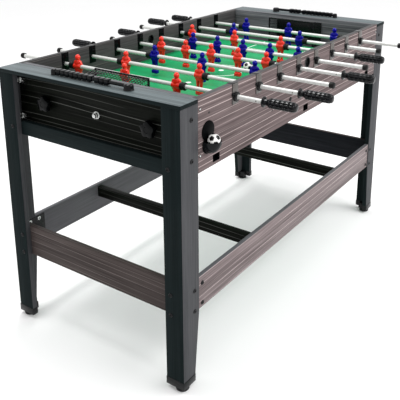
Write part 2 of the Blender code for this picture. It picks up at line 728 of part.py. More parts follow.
def build_pool_bed(cabinet):
    """The pool bed under the cabinet, face down, with its cushions and six pockets."""
    bed = plain_box("pool_bed", (-INNER_X + SEAT_GAP, -INNER_Y + SEAT_GAP, POOL_FACE),
                    (INNER_X - SEAT_GAP, INNER_Y - SEAT_GAP, POOL_TOP),
                    material("pool_green", (0.02, 0.25, 0.10), 0.8), cabinet)
    top = POOL_FACE + CUSHION_SINK
    section = [(0, top), (0, POOL_FACE - CUSHION_BACK_DROP),
               (CUSHION_WIDTH, POOL_FACE - CUSHION_NOSE_DROP - CUSHION_SINK),
               (CUSHION_WIDTH, POOL_FACE - CUSHION_NOSE_DROP + CUSHION_SINK),
               (CUSHION_WIDTH / 2, top)]
    cushions = bmesh.new()
    wall_y = INNER_Y - SEAT_GAP
    wall_x = INNER_X - SEAT_GAP
    run = POCKET_PLACE - 2 * POCKET_MOUTH
    side_cushion = outline_mesh("side_cushion", section, run)
    end_cushion = outline_mesh("end_cushion", section, 2 * (wall_y - 2 * POCKET_MOUTH))
    along_y = Matrix.Rotation(math.pi / 2, 4, "X")
    for way in (-1, 1):
        turn = Matrix.Rotation(math.pi / 2 * way, 4, "Z") @ along_y
        for end in (-1, 1):
            add_mesh(cushions, side_cushion, Matrix.Translation(
                (end * (POCKET_MOUTH + run / 2), -way * wall_y, 0)) @ turn)
        turn = Matrix.Rotation(math.pi / 2 * (1 + way), 4, "Z") @ along_y
        add_mesh(cushions, end_cushion, Matrix.Translation((way * wall_x, 0, 0)) @ turn)
    fuse(bed, tool("pool_cushions", cushions))
    pockets = bmesh.new()
    reach = POOL_BED_THICKNESS + 2 * CUT_OVERRUN
    for place in (-POCKET_PLACE, 0, POCKET_PLACE):
        for side in (-1, 1):
            add_cylinder(pockets, (place, side * (wall_y - POCKET_RADIUS - POCKET_INSET / 4),
                                   (POOL_FACE + POOL_TOP) / 2), UP, POCKET_RADIUS, reach,
                         HOLE_SIDES)
    cut(bed, tool("pool_pocket_holes", pockets))


def build_goal(end, cabinet):
    """A cage goal: a square hoop, two side bars, a back plate and sloping strands."""
    name = f"goal_{end_name(end)}"
    back = INNER_X - SEAT_GAP
    front = back - GOAL_DEPTH
    floor = FIELD_TOP + SEAT_GAP
    top = TABLE_HEIGHT - GOAL_TOP_DROP
    back_top = floor + GOAL_BACK_HEIGHT
    xs = sorted((end * back, end * (back - GOAL_BACK)))
    goal = plain_box(name, (xs[0], -GOAL_HALF_WIDTH, floor), (xs[1], GOAL_HALF_WIDTH, back_top),
                     black_plastic(), cabinet)

    hoop = bmesh.new()
    xs = sorted((end * front, end * (front + GOAL_BAR)))
    add_box(hoop, (xs[0], -GOAL_HALF_WIDTH, floor), (xs[1], GOAL_HALF_WIDTH, top))
    fuse(goal, tool(name + "_hoop", hoop))
    mouth = bmesh.new()
    add_box(mouth, (xs[0] - CUT_OVERRUN, -GOAL_HALF_WIDTH + GOAL_BAR, floor - CUT_OVERRUN),
            (xs[1] + CUT_OVERRUN, GOAL_HALF_WIDTH - GOAL_BAR, top - GOAL_BAR))
    cut(goal, tool(name + "_mouth", mouth))

    bars = bmesh.new()
    xs = sorted((end * (front + GOAL_BAR / 2), end * (back - GOAL_BACK / 2)))
    for side in (-1, 1):
        ys = sorted((side * GOAL_HALF_WIDTH, side * (GOAL_HALF_WIDTH - GOAL_BAR / 2)))
        add_box(bars, (xs[0], ys[0], floor), (xs[1], ys[1], floor + GOAL_BAR))
    fuse(goal, tool(name + "_side_bars", bars))

    strands = bmesh.new()
    start = Vector((end * (front + GOAL_BAR / 2), 0, top - GOAL_BAR / 2))
    stop = Vector((end * (back - GOAL_BACK / 2), 0, back_top - GOAL_STRAND))
    along = stop - start
    reach = GOAL_HALF_WIDTH - GOAL_BAR / 2
    for index in range(GOAL_STRANDS):
        y = -reach + 2 * reach * index / (GOAL_STRANDS - 1)
        middle = (start + stop) / 2 + Vector((0, y, 0))
        add_cylinder(strands, middle, along, GOAL_STRAND / 2, along.length, STRAND_SIDES)
    fuse(goal, tool(name + "_strands", strands))


def half_bowl(radius, side, lower_only):
    """Half a stretched ball standing out from a wall, or only its lower half."""
    bm = bmesh.new()
    stretch = Matrix.Diagonal((1, SCOOP_REACH_SHARE, SCOOP_DEPTH_SHARE, 1))
    bmesh.ops.create_uvsphere(bm, u_segments=ROUND_SIDES, v_segments=ROD_SIDES, radius=radius,
                              matrix=stretch)
    planes = [Vector((0, -side, 0))]
    if lower_only:
        planes.append(UP)
    for normal in planes:
        bmesh.ops.bisect_plane(bm, geom=list(bm.verts) + list(bm.edges) + list(bm.faces),
                               plane_co=(0, 0, 0), plane_no=normal, clear_outer=True)
        bmesh.ops.holes_fill(bm, edges=list(bm.edges), sides=0)
    bmesh.ops.recalc_face_normals(bm, faces=list(bm.faces))
    return bm


def build_ball_return(side, cabinet):
    """Chute under the field, neck through the wall, flange and a deep scoop for the ball."""
    name = f"ball_return_{side_name(side)}"
    x = side * RETURN_PLACE
    floor = POOL_TOP + SEAT_GAP
    rim = FIELD_BOTTOM - SEAT_GAP
    half = CHUTE_WIDTH / 2
    wall_face = WALL_Y + SEAT_GAP
    mouth = wall_face + FLANGE
    inner = INNER_Y - SEAT_GAP
    bowl_z = floor + CHUTE_WALL + (SCOOP_RADIUS - SCOOP_WALL) * SCOOP_DEPTH_SHARE

    ys = sorted((side * inner, -side * CHUTE_END))
    bm = bmesh.new()
    add_box(bm, (x - half, ys[0], floor), (x + half, ys[1], rim))
    chute = add_object(name, mesh_from(bm, name), black_plastic(), TABLE, cabinet)

    def tube(label, radius, start, stop, height):
        tube_bm = bmesh.new()
        add_cylinder(tube_bm, (x, side * (start + stop) / 2, height), (0, 1, 0), radius,
                     stop - start, ROUND_SIDES)
        return tool(f"{name}_{label}", tube_bm)

    fuse(chute, tube("flange", FLANGE_RADIUS, wall_face, mouth, NECK_Z + FLANGE_RISE))
    fuse(chute, tube("collar", COLLAR_RADIUS, wall_face, mouth - SEAT_GAP, NECK_Z))
    fuse(chute, tube("neck", NECK_RADIUS, inner - CUT_OVERRUN, wall_face + FLANGE / 3, NECK_Z))
    seat = (x, side * (wall_face + FLANGE * 2 / 3), bowl_z)
    fuse(chute, tool(name + "_scoop", half_bowl(SCOOP_RADIUS, side, True), seat))
    seat = (x, side * (wall_face + FLANGE / 2), bowl_z)
    cut(chute, tool(name + "_bowl", half_bowl(SCOOP_RADIUS - SCOOP_WALL, side, False), seat))
    cut(chute, tube("bore", NECK_RADIUS - CHUTE_WALL, inner - 2 * CUT_OVERRUN, mouth, NECK_Z))
    ys = sorted((side * (inner - CHUTE_WALL), -side * (CHUTE_END - CHUTE_WALL)))
    bm = bmesh.new()
    add_box(bm, (x - half + CHUTE_WALL, ys[0], floor + CHUTE_WALL),
            (x + half - CHUTE_WALL, ys[1], rim + CHUTE_WALL))
    cut(chute, tool(name + "_channel", bm))


def build_rod(index, cabinet):
    """One rod: the turning sleeve, the rod with its players, and the handle."""
    team, players = ROD_ROWS[index]
    facing = handle_side(index)
    name = f"rod_{index + 1}"
    x = rod_x(index)
    axis = add_empty(name + "_axis", (x, 0, ROD_Z), cabinet)
    to_handle = (-facing * math.pi / 2, 0, 0)

    plate = WALL_Y + EAR_PROUD + SEAT_GAP
    bore = ROD_RADIUS + ROD_SLIDE_PLAY
    profile = [(SLEEVE_FLANGE_RADIUS, plate + SLEEVE_FLANGE), (SLEEVE_FLANGE_RADIUS, plate),
               (SLEEVE_RADIUS, plate), (SLEEVE_RADIUS, INNER_Y - SADDLE_PROUD),
               (bore, INNER_Y - SADDLE_PROUD), (bore, plate + SLEEVE_FLANGE)]
    turned(name + "_sleeve", profile, ROD_SIDES, black_plastic(), axis, (x, 0, ROD_Z), to_handle)

    place = (x, rod_rest(index), ROD_Z)
    spacing = player_spacing(players)
    outermost = spacing * (players - 1) / 2
    inner_bumper = outermost + PLAYER_WIDTH * (1 / 2 - BUMPER_OVERLAP_SHARE)
    outer_bumper = outermost + PLAYER_WIDTH / 2 + BUMPER
    profile = [(0, ROD_HANDLE_END), (ROD_RADIUS, ROD_HANDLE_END),
               (ROD_RADIUS, outer_bumper), (BUMPER_RADIUS, outer_bumper),
               (BUMPER_RADIUS, inner_bumper), (ROD_RADIUS, inner_bumper),
               (ROD_RADIUS, -inner_bumper), (BUMPER_RADIUS, -inner_bumper),
               (BUMPER_RADIUS, -outer_bumper), (ROD_RADIUS, -outer_bumper),
               (ROD_RADIUS, ROD_CAP - ROD_TIP_END), (ROD_CAP_RADIUS, ROD_CAP - ROD_TIP_END),
               (ROD_CAP_RADIUS, -ROD_TIP_END), (0, -ROD_TIP_END)]
    rod = turned(name + "_with_players", profile, ROD_SIDES, steel(), axis, place, to_handle)
    men = bmesh.new()
    sections = []
    for height, width, depth in PLAYER_SECTION_SHARES:
        reach = PLAYER_FOOT_REACH if height < 0 else PLAYER_HEAD_REACH
        sections.append((height * reach, width * PLAYER_WIDTH / 2, depth * PLAYER_DEPTH / 2))
    for player in range(players):
        y = player * spacing - outermost
        add_loft(men, sections, PLAYER_SIDES, Matrix.Translation((0, y, 0)))
    fuse(rod, tool(f"{name}_{team}_players", men, place))

    bore = ROD_RADIUS + SEAT_GAP
    profile = [(0, HANDLE_START + HANDLE)]
    profile += [(HANDLE_RADIUS * radius, HANDLE_START + HANDLE * height)
                for radius, height in HANDLE_PROFILE_SHARES]
    profile += [(bore, HANDLE_START), (bore, ROD_HANDLE_END + SEAT_GAP),
                (0, ROD_HANDLE_END + SEAT_GAP)]
    turned(name + "_handle", profile, ROD_SIDES, black_plastic(), axis, place, to_handle)


def build_table():
    clear_scene()
    for end in (-1, 1):
        for side in (-1, 1):
            build_leg(end, side)
            build_leveler(end, side)
            build_lock_knob(end, side)
        build_end_frame(end)
        build_score_beads(end)
        build_cross_bar(end)
    for side in (-1, 1):
        build_long_stretcher(side)

    cabinet = add_empty("cabinet_pivot", (0, 0, PIVOT_Z))
    build_field(cabinet)
    build_pool_bed(cabinet)
    for end in (-1, 1):
        build_end_wall(end, cabinet)
        build_goal(end, cabinet)
    for side in (-1, 1):
        build_side_wall(side, cabinet)
        build_ball_return(side, cabinet)
    for index in range(len(ROD_ROWS)):
        build_rod(index, cabinet)


build_table()
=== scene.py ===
"""Looks of a multi game table: laminates, moulded players, grips, nets and fasteners.

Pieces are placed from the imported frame, in metres: +X runs from the near end to the
far end, -Y is the front long side and +Z is up.
"""
import json
import math

import bmesh
import bpy
from mathutils import Euler, Matrix, Vector


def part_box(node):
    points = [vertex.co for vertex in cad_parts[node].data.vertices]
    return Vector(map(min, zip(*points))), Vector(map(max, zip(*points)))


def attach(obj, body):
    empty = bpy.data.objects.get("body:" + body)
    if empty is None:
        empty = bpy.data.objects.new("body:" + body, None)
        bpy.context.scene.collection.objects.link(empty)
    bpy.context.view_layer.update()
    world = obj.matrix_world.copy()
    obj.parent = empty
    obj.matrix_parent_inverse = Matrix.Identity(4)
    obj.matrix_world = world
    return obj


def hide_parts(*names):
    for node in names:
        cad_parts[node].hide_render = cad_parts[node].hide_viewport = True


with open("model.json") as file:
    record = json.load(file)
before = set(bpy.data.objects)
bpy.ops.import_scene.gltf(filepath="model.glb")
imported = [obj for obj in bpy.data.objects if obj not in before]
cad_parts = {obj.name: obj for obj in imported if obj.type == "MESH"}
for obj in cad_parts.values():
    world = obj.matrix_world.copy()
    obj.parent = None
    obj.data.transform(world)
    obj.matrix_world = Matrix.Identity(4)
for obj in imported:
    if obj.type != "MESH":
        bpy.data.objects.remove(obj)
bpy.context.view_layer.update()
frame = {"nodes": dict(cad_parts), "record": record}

ENDS = {-1: "near", 1: "far"}
SIDES = {-1: "front", 1: "back"}
RODS = range(1, 9)
UP = Vector((0, 0, 1))
AWAY = Vector((1, 0, 0))
ACROSS = Vector((0, 1, 0))

# Sizes that the dressed pieces share with the solids
SEAT = 0.0003
WALL = 0.0150
WALL_EDGE = 0.0008
CUT_OVERRUN = 0.0020
WELD = 0.00001
SHOE_HEIGHT = 0.0205
LEG_BOARD = 0.0155

# Rods
ROD_RADIUS = 0.00575
ROD_HANDLE_END = 0.5180
ROD_TIP_END = 0.4150
PIN_FROM_GRIP = 0.0170
PIN_RADIUS = 0.0016
CAP_RADIUS = 0.0085
CAP_LENGTH = 0.0140
BUMPER_RADIUS = 0.0105
BUMPER_LENGTH = 0.0150
BUMPER_GROOVE = 0.0014
PLAYER_WIDTH = 0.0285
SPACINGS = {2: 0.2620, 3: 0.1765, 5: 0.0970}
TEAMS = (("red", 3), ("red", 2), ("blue", 3), ("red", 5),
         ("blue", 5), ("red", 3), ("blue", 2), ("blue", 3))

# Player, from the rod's axis
FOOT_REACH = 0.0545
FOOT_HEIGHT = 0.0108
FOOT_WIDTH = 0.0208
FOOT_DEPTH = 0.0130
LEG_TOP = -0.0100
LEG_SPREAD = 0.0060
HEAD_REACH = 0.0340
HEAD_RADIUS = 0.0077
HUB_OF_PLAYER = 0.0084
PLAYER_GRAIN = 0.0010

# Grip
GRIP_RADIUS = 0.0125
GRIP_FLUTES = 10
GRIP_FLUTE_DEPTH = 0.0026
GRIP_RING_PITCH = 0.0120
GRIP_RING_DEPTH = 0.0013
GRIP_FLUTE_SHARPNESS = 2.2
GRIP_RING_SHARPNESS = 5
GRIP_STEP = 0.0013
GRIP_FLUTED = (0.20, 0.965)
GRIP_FADE = 0.05

# Bearings in the long walls
SADDLE_WIDTH = 0.0260
SADDLE_BELOW = 0.0190
SADDLE_PROUD = 0.0020
EAR_PROUD = 0.0060
HUB_EXTRA = 0.0050
EAR_REACH = 0.0130
EAR_RADIUS = 0.0050
EAR_TILT = math.radians(35)
EAR_SCREW = 0.8
HUB_RADIUS = 0.0120
SLEEVE_RADIUS = 0.0088
SLEEVE_FLANGE = 0.0030
SLEEVE_FLANGE_RADIUS = 0.0125
SLEEVE_HOLE = 0.0095
SLEEVE_PLAY = 0.0002
ROD_HOLE = 0.0063

# Wall openings
SERVE_HOLE_RADIUS = 0.0145
SERVE_HOLE_DROP = 0.0280
SERVE_CUP_RADIUS = 0.0168
WINDOWS = (-0.4690, 0, 0.4690)
WINDOW_WIDTH = 0.0300
WINDOW_LOW = 0.5715
WINDOW_HIGH = 0.5915
WINDOW_LIP = 0.0012
WINDOW_CORNER = 0.0030
LINER_CORNER = 0.0028
LINER_BORE_CORNER = 0.0010
NECK_RADIUS = 0.0183

# Ball returns
RETURN_PLACE = 0.5040
FLANGE_RADIUS = 0.0245
FLANGE = 0.0030
FLANGE_Z = 0.6585
COLLAR_RADIUS = 0.0225
CUP_RADIUS = 0.0235
CUP_WALL = 0.0022
CUP_STRETCH = (1, 1.45, 1.36, 1)
CUP_RIM_Z = 0.6360
NECK_Z = 0.62475
NECK_BORE = 0.0165
NECK_WALL = 0.0012
CHUTE_BEHIND_FACE = 0.0040

# Balls: the cup's place is its distance from the wall and its height, the turns are
# angles about X, Y and Z, and the panels' measures are shares of the radius
BALL_RADIUS = 0.0155
BALL_IN_CUP = (0.0173, 0.6385)
BALL_ON_FIELD = (0.0330, -0.0790)
BALL_IN_CUP_TURN = (0.9, 0, 0.2)
BALL_ON_FIELD_TURN = (1.563, -0.648, -2.712)
BALL_PANEL_CUT = 0.430
BALL_SEAM = 0.018

# Score keepers
SCORE_RISE = 0.0094
SCORE_HALF_LENGTH = 0.1330
SCORE_POST_RADIUS = 0.0095
SCORE_POST_FLARE = 0.0025
SCORE_POST_HEIGHT = 0.0158
SCORE_WIRE_RADIUS = 0.0046
SCORE_PLAY = 0.0005
SCORE_BEADS = 11
SCORE_GAP_AFTER = 8
SCORE_PITCH = 0.0155
SCORE_BEAD_HALF_WIDTH = 0.0072
SCORE_BEAD_EDGE = 0.0018

# Goals
GOAL_DEPTH = 0.0670
GOAL_HALF_WIDTH = 0.0930
GOAL_BAR = 0.0050
GOAL_EDGE = 0.0018
GOAL_BACK_HEIGHT = 0.0800
GOAL_TOP_DROP = 0.0020
GOAL_BACK_BAR = 0.0020
NET_STRAND = 0.0011
NET_CROSS_STRAND = NET_STRAND * 0.85
NET_SAG = 0.0030
NET_COLUMNS = 19
NET_ROWS = 8

# Field markings
LINE = 0.0038
LINE_RISE = 0.00015
FIELD_END = 0.4600
FIELD_MARGIN = 0.0120
CENTRE_CIRCLE = 0.0680
BOX_REACH = 0.3200
BOX_HALF_WIDTH = 0.1000
SPOT = 0.0085
SPOT_RISE = LINE_RISE * 1.4
SPOTS = (-0.1740, 0, 0.1740)
BAND_PITCH = 0.111

# Knobs and feet
KNOB_RADIUS = 0.0225
KNOB_LOBE = 0.0048
KNOB_LOBES = 5
KNOB_HEAD = 0.0150
KNOB_HUB_RADIUS = 0.0110
KNOB_HUB = 0.0060
KNOB_REACH = 0.0250
KNOB_STUD_RADIUS = 0.0040
KNOB_STUD = 0.0145
LEVELER_DISC = 0.0085
LEVELER_STUD_RADIUS = 0.0050
PIVOT_NUT = 0.0078

# Fasteners: places are (x, z) on a side, (y, z) on an end and z alone; small screws
# are shares of the full screw's radius, or of its radius and height
PLATE = 0.0012
PLATE_LENGTH = 0.0700
PLATE_HEIGHT = 0.0600
PLATE_TOP_DROP = 0.0040
PLATE_SCREWS = (0.24, 0.70)
PLATE_SCREW_DROP = 0.23
PLATE_SCREW_RADIUS = 0.0025
PLATE_SCREW_HEAD = 0.0018
BRACKET_EDGE = 0.0004
BRACKET_PLAY = 0.0005
BRACKET_SCREW = 0.0120
BRACKET_REACH = 0.0200
BRACKET_HALF = 0.0080
BOLT_RADIUS = 0.0058
BOLT_HEAD = 0.0022
BOLT_SINK = 0.0010
SCREW_RADIUS = 0.0034
SCREW_HEAD = 0.0014
CORNER_SCREW = 0.72
CORNER_SCREW_DROP = 0.0270
CORNER_SCREW_RISE = 0.0410
CORNER_SCREW_WASHER = (1.25, 0.4)
FIELD_SCREW = (0.8, 0.5)
PLUG_RADIUS = 0.0068
PLUG_HEAD = 0.0030
PLUG_PLACE = (-0.098, 0.631)
FIELD_SCREWS = ((-0.4985, 0.701), (-0.201, 0.625), (0.203, 0.623), (0.4985, 0.701))
LEG_BOLTS = ((0.568, 0.702), (0.568, 0.603), (0.561, 0.267), (0.561, 0.210))
STRETCHER_BOLTS = ((0.527, 0.271), (0.527, 0.216))
END_BOLTS = ((0.262, 0.589), (0.262, 0.267), (0.262, 0.213))
BRACKETS = (0.702, 0.601)

# Camera, as the photograph was taken
CAMERA_PLACE = (-1.6807, -1.1174, 1.1751)
CAMERA_AZIMUTH = math.radians(-55.785)
CAMERA_ELEVATION = math.radians(16.301)
PHOTO_PIXELS = 400
FOCAL_PIXELS = 660.0
SHIFT_PIXELS = (14.5, -110.0)
SENSOR_MM = 36.0


# Places that follow from the frame

def outer(node, sign, axis):
    """Where a node's face on the side of a sign lies along axis 0, 1 or 2."""
    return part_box(node)[1 if sign > 0 else 0][axis]


def middle_of(node):
    low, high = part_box(node)
    return (low + high) / 2


table_top = outer("cabinet_end_wall_near", 1, 2)
apron_bottom = outer("cabinet_end_wall_near", -1, 2)
field_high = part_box("foosball_field")[1]
field_top = field_high.z
inner_x = field_high.x + SEAT
inner_y = field_high.y + SEAT
outer_x = inner_x + WALL
outer_y = inner_y + WALL
wall_y = inner_y + WALL / 2
rod_z = middle_of("rod_1_handle").z


def facing(rod):
    """The side of the table that the rod's grip is on."""
    return 1 if middle_of(f"rod_{rod}_handle").y > 0 else -1


def rod_x(rod):
    return middle_of(f"rod_{rod}_handle").x


def rod_shift(rod):
    """Where the middle of the rod's own length rests along the table's width."""
    side = facing(rod)
    return outer(f"rod_{rod}_with_players", side, 1) - side * ROD_HANDLE_END


# Finishes

class Recipe:
    """A shader tree with short calls for the nodes that the finishes are made of."""

    def __init__(self, tree, place=None):
        self.tree = tree
        self.place = self.add("ShaderNodeTexCoord").outputs["Object"] if place is None else place

    def plug(self, socket, value):
        """Link a socket, or set it to a number or a colour."""
        if isinstance(value, bpy.types.NodeSocket):
            self.tree.links.new(value, socket)
        elif isinstance(value, tuple) and len(value) == 3 and socket.type == "RGBA":
            socket.default_value = (*value, 1)
        else:
            socket.default_value = value

    def add(self, kind, inputs=None, **settings):
        made = self.tree.nodes.new(kind)
        for name, value in settings.items():
            setattr(made, name, value)
        for name, value in (inputs or {}).items():
            self.plug(made.inputs[name], value)
        return made

    def mix(self, factor, first, second):
        return self.add("ShaderNodeMix", {0: factor, 6: first, 7: second},
                        data_type="RGBA").outputs[2]

    def maths(self, operation, first, second=0.0, clamp=False):
        return self.add("ShaderNodeMath", {0: first, 1: second}, operation=operation,
                        use_clamp=clamp).outputs[0]

    def times(self, first, second):
        return self.maths("MULTIPLY", first, second)

    def plus(self, first, second):
        return self.maths("ADD", first, second)

    def ramp(self, value, low, high, to_low=0.0, to_high=1.0):
        return self.add("ShaderNodeMapRange", {
            "Value": value, "From Min": low, "From Max": high,
            "To Min": to_low, "To Max": to_high}).outputs["Result"]

    def stretched(self, scale, turn=(0, 0, 0)):
        return self.add("ShaderNodeMapping", {
            "Vector": self.place, "Scale": scale, "Rotation": turn}).outputs["Vector"]

    def noise(self, scale, detail=2.0, roughness=0.5):
        """Noise of a scale, or of a scale along each axis."""
        vector = self.place
        if isinstance(scale, tuple):
            vector, scale = self.stretched(scale), 1.0
        return self.add("ShaderNodeTexNoise", {
            "Vector": vector, "Scale": scale, "Detail": detail,
            "Roughness": roughness}).outputs[0]

    def finish(self, colour, roughness, relief=None, gloss=0.5):
        """Wire up the shader; relief is a height with its strength and distance."""
        shader = self.tree.nodes["Principled BSDF"]
        self.plug(shader.inputs["Base Color"], colour)
        self.plug(shader.inputs["Roughness"], roughness)
        shader.inputs["Specular IOR Level"].default_value = gloss
        if relief:
            bump = self.add("ShaderNodeBump", dict(zip(("Height", "Strength", "Distance"), relief)))
            self.plug(shader.inputs["Normal"], bump.outputs["Normal"])
        return shader


def new_group(name, inputs, outputs):
    """A shader group over a vector, with number inputs that have defaults, and outputs."""
    group = bpy.data.node_groups.new(name, "ShaderNodeTree")
    new_socket = group.interface.new_socket
    new_socket("Vector", in_out="INPUT", socket_type="NodeSocketVector")
    for label, default in inputs.items():
        socket = new_socket(label, in_out="INPUT", socket_type="NodeSocketFloat")
        socket.default_value = default
    for label in outputs:
        new_socket(label, in_out="OUTPUT", socket_type="NodeSocketFloat")
    given = group.nodes.new("NodeGroupInput").outputs
    return Recipe(group, given["Vector"]), given, group.nodes.new("NodeGroupOutput").inputs


def laminate_group():
    """Printed woodgrain that runs along the vector's X: streaks, pores and pale stripes."""
    tree, given, result = new_group(
        "printed_woodgrain",
        {"Stripes per metre": 55.0, "Stripe width": 0.05, "Waviness": 0.006},
        ("Streaks", "Pores", "Stripes", "Dust"))
    broad = tree.noise((1.4, 38, 38), 3.0, 0.6)
    fine = tree.noise((5, 240, 240), 4.0, 0.65)
    hair = tree.noise((14, 900, 900), 2.0, 0.5)
    streaks = tree.plus(tree.times(broad, 0.45), tree.times(fine, 0.55))
    tree.plug(result["Streaks"], tree.ramp(streaks, 0.34, 0.66))
    tree.plug(result["Pores"], tree.ramp(hair, 0.35, 0.65))

    parts = tree.add("ShaderNodeSeparateXYZ", {"Vector": tree.place}).outputs
    sway = tree.times(tree.noise((1.2, 9, 9), 1.0), given["Waviness"])
    across = tree.plus(tree.plus(parts["Y"], parts["Z"]), sway)
    cells = tree.add("ShaderNodeTexVoronoi", voronoi_dimensions="1D", feature="DISTANCE_TO_EDGE")
    tree.plug(cells.inputs["W"], tree.times(across, given["Stripes per metre"]))
    cells.inputs["Scale"].default_value = 1.0
    line = tree.maths("DIVIDE", cells.outputs["Distance"], given["Stripe width"])
    line = tree.maths("SUBTRACT", 1.0, line, clamp=True)
    fade = tree.ramp(tree.noise((3, 60, 60), 1.0), 0.3, 0.6)
    tree.plug(result["Stripes"], tree.times(line, fade))
    tree.plug(result["Dust"], tree.ramp(tree.noise(9.0, 4.0, 0.7), 0.42, 0.72))
    return tree.tree


def mould_group():
    """Moulded plastic: fine spark-eroded texture, soft flow marks and handling scuffs."""
    tree, given, result = new_group("moulded_surface", {"Grain per metre": 1500.0},
                                    ("Texture", "Flow", "Scuffs"))
    tree.plug(result["Texture"], tree.noise(given["Grain per metre"], 1.0))
    tree.plug(result["Flow"], tree.noise(45.0, 3.0, 0.6))
    scuffs = tree.add("ShaderNodeTexNoise", {
        "Vector": tree.stretched((160, 35, 160), (0.4, 0.3, 0.8)), "Scale": 1.0, "Detail": 3.0,
        "Roughness": 0.7}).outputs[0]
    tree.plug(result["Scuffs"], tree.ramp(scuffs, 0.60, 0.78))
    return tree.tree


LAMINATE = laminate_group()
MOULD = mould_group()
GRAIN_TURNS = {"x": (0, 0, 0), "y": (0, 0, math.pi / 2), "z": (0, math.pi / 2, 0)}
DUST = (0.42, 0.41, 0.40)


def new_finish(name):
    """A material and the recipe for its tree."""
    made = bpy.data.materials.new(name)
    made.use_nodes = True
    return made, Recipe(made.node_tree)


def laminate(name, along, dark, light, stripe, stripe_amount, roughness,
             stripes=(55.0, 0.05, 0.006), gloss=0.30, dusty=0.04):
    """A woodgrain laminate whose grain runs along x, y or z."""
    made, tree = new_finish(f"{name}_{along}")
    inputs = dict(zip(("Stripes per metre", "Stripe width", "Waviness"), stripes))
    inputs["Vector"] = tree.stretched((1, 1, 1), GRAIN_TURNS[along])
    grain = tree.add("ShaderNodeGroup", inputs, node_tree=LAMINATE).outputs
    colour = tree.mix(grain["Streaks"], dark, light)
    colour = tree.mix(tree.times(grain["Pores"], 0.30), colour, dark)
    colour = tree.mix(tree.times(grain["Stripes"], stripe_amount), colour, stripe)
    colour = tree.mix(tree.times(grain["Dust"], dusty), colour, DUST)
    dull = tree.plus(tree.times(grain["Pores"], 0.14), tree.times(grain["Dust"], 0.10))
    tree.finish(colour, tree.plus(dull, roughness), (grain["Pores"], 0.25, 0.0002), gloss)
    return made


def moulded(name, colour, worn, roughness, texture=0.15, grain=1500.0, gloss=0.30):
    """Moulded plastic or rubber."""
    made, tree = new_finish(name)
    surface = tree.add("ShaderNodeGroup", {"Vector": tree.place, "Grain per metre": grain},
                       node_tree=MOULD).outputs
    body = tree.mix(tree.times(surface["Flow"], 0.35), colour, worn)
    body = tree.mix(tree.times(surface["Scuffs"], 0.35), body, worn)
    uneven = tree.plus(tree.times(surface["Flow"], 0.06), tree.times(surface["Scuffs"], 0.15))
    tree.finish(body, tree.plus(uneven, roughness), (surface["Texture"], texture, 0.00025), gloss)
    return made


def painted_steel(name, colour, metal, roughness, gloss=0.5):
    """Coated or plated steel with drawing marks along Y and faint handling marks."""
    made, tree = new_finish(name)
    drawn = tree.noise((900, 12, 900), 2.0)
    marks = tree.noise(70.0, 4.0, 0.7)
    dull = tuple(0.72 * channel for channel in colour)
    tone = tree.mix(tree.times(drawn, 0.18), colour, dull)
    tone = tree.mix(tree.ramp(marks, 0.5, 0.8, 0.0, 0.22), tone, dull)
    shader = tree.finish(tone, tree.ramp(marks, 0.3, 0.8, roughness, roughness + 0.16),
                         (drawn, 0.03, 0.00003), gloss)
    shader.inputs["Metallic"].default_value = metal
    return made


def field_finish():
    """Printed green board: mown bands, fine tooth and dark strips beyond the goal lines."""
    made, tree = new_finish("field_print")
    along = tree.add("ShaderNodeSeparateXYZ", {"Vector": tree.place}).outputs["X"]
    bands = tree.maths("SINE", tree.times(along, math.tau / BAND_PITCH))
    green = tree.mix(tree.ramp(bands, -0.25, 0.25), (0.003, 0.255, 0.082), (0.005, 0.315, 0.106))
    tooth = tree.noise((700, 240, 700), 3.0, 0.7)
    green = tree.mix(tree.ramp(tooth, 0.35, 0.70, 0.0, 0.30), green, (0.002, 0.165, 0.055))
    patches = tree.ramp(tree.noise(11.0, 3.0), 0.35, 0.7, 0.0, 0.18)
    green = tree.mix(patches, green, (0.030, 0.370, 0.160))
    beyond = tree.maths("GREATER_THAN", tree.maths("ABSOLUTE", along), FIELD_END)
    strip = tree.mix(tree.noise((60, 5, 60), 3.0), (0.016, 0.017, 0.018), (0.060, 0.060, 0.062))
    tree.finish(tree.mix(beyond, green, strip), tree.ramp(tooth, 0.3, 0.8, 0.34, 0.52),
                (tooth, 0.12, 0.0002), 0.18)
    return made


def felt_finish():
    """Green billiard felt with nap and pilling."""
    made, tree = new_finish("pool_felt")
    nap = tree.noise(1400.0, 3.0, 0.8)
    cloth = tree.mix(nap, (0.006, 0.110, 0.045), (0.020, 0.230, 0.100))
    cloud = tree.ramp(tree.noise(14.0, 3.0), 0.4, 0.7, 0.0, 0.3)
    shader = tree.finish(tree.mix(cloud, cloth, (0.010, 0.150, 0.060)),
                         tree.ramp(nap, 0.2, 0.8, 0.86, 0.98), (nap, 0.4, 0.0004))
    shader.inputs["Sheen Weight"].default_value = 0.25
    return made


def line_finish():
    """White printing ink, worn a little where the ball runs."""
    made, tree = new_finish("field_line_ink")
    worn = tree.ramp(tree.noise(160.0, 4.0, 0.75), 0.45, 0.75, 0.0, 0.45)
    tree.finish(tree.mix(worn, (0.82, 0.86, 0.83), (0.30, 0.55, 0.40)),
                tree.ramp(worn, 0.0, 0.45, 0.40, 0.60))
    return made


def floor_finish():
    made, tree = new_finish("studio_floor")
    tree.finish(tree.mix(tree.noise(1.5, 2.0), (0.93, 0.93, 0.93), (0.95, 0.95, 0.95)), 0.9)
    return made


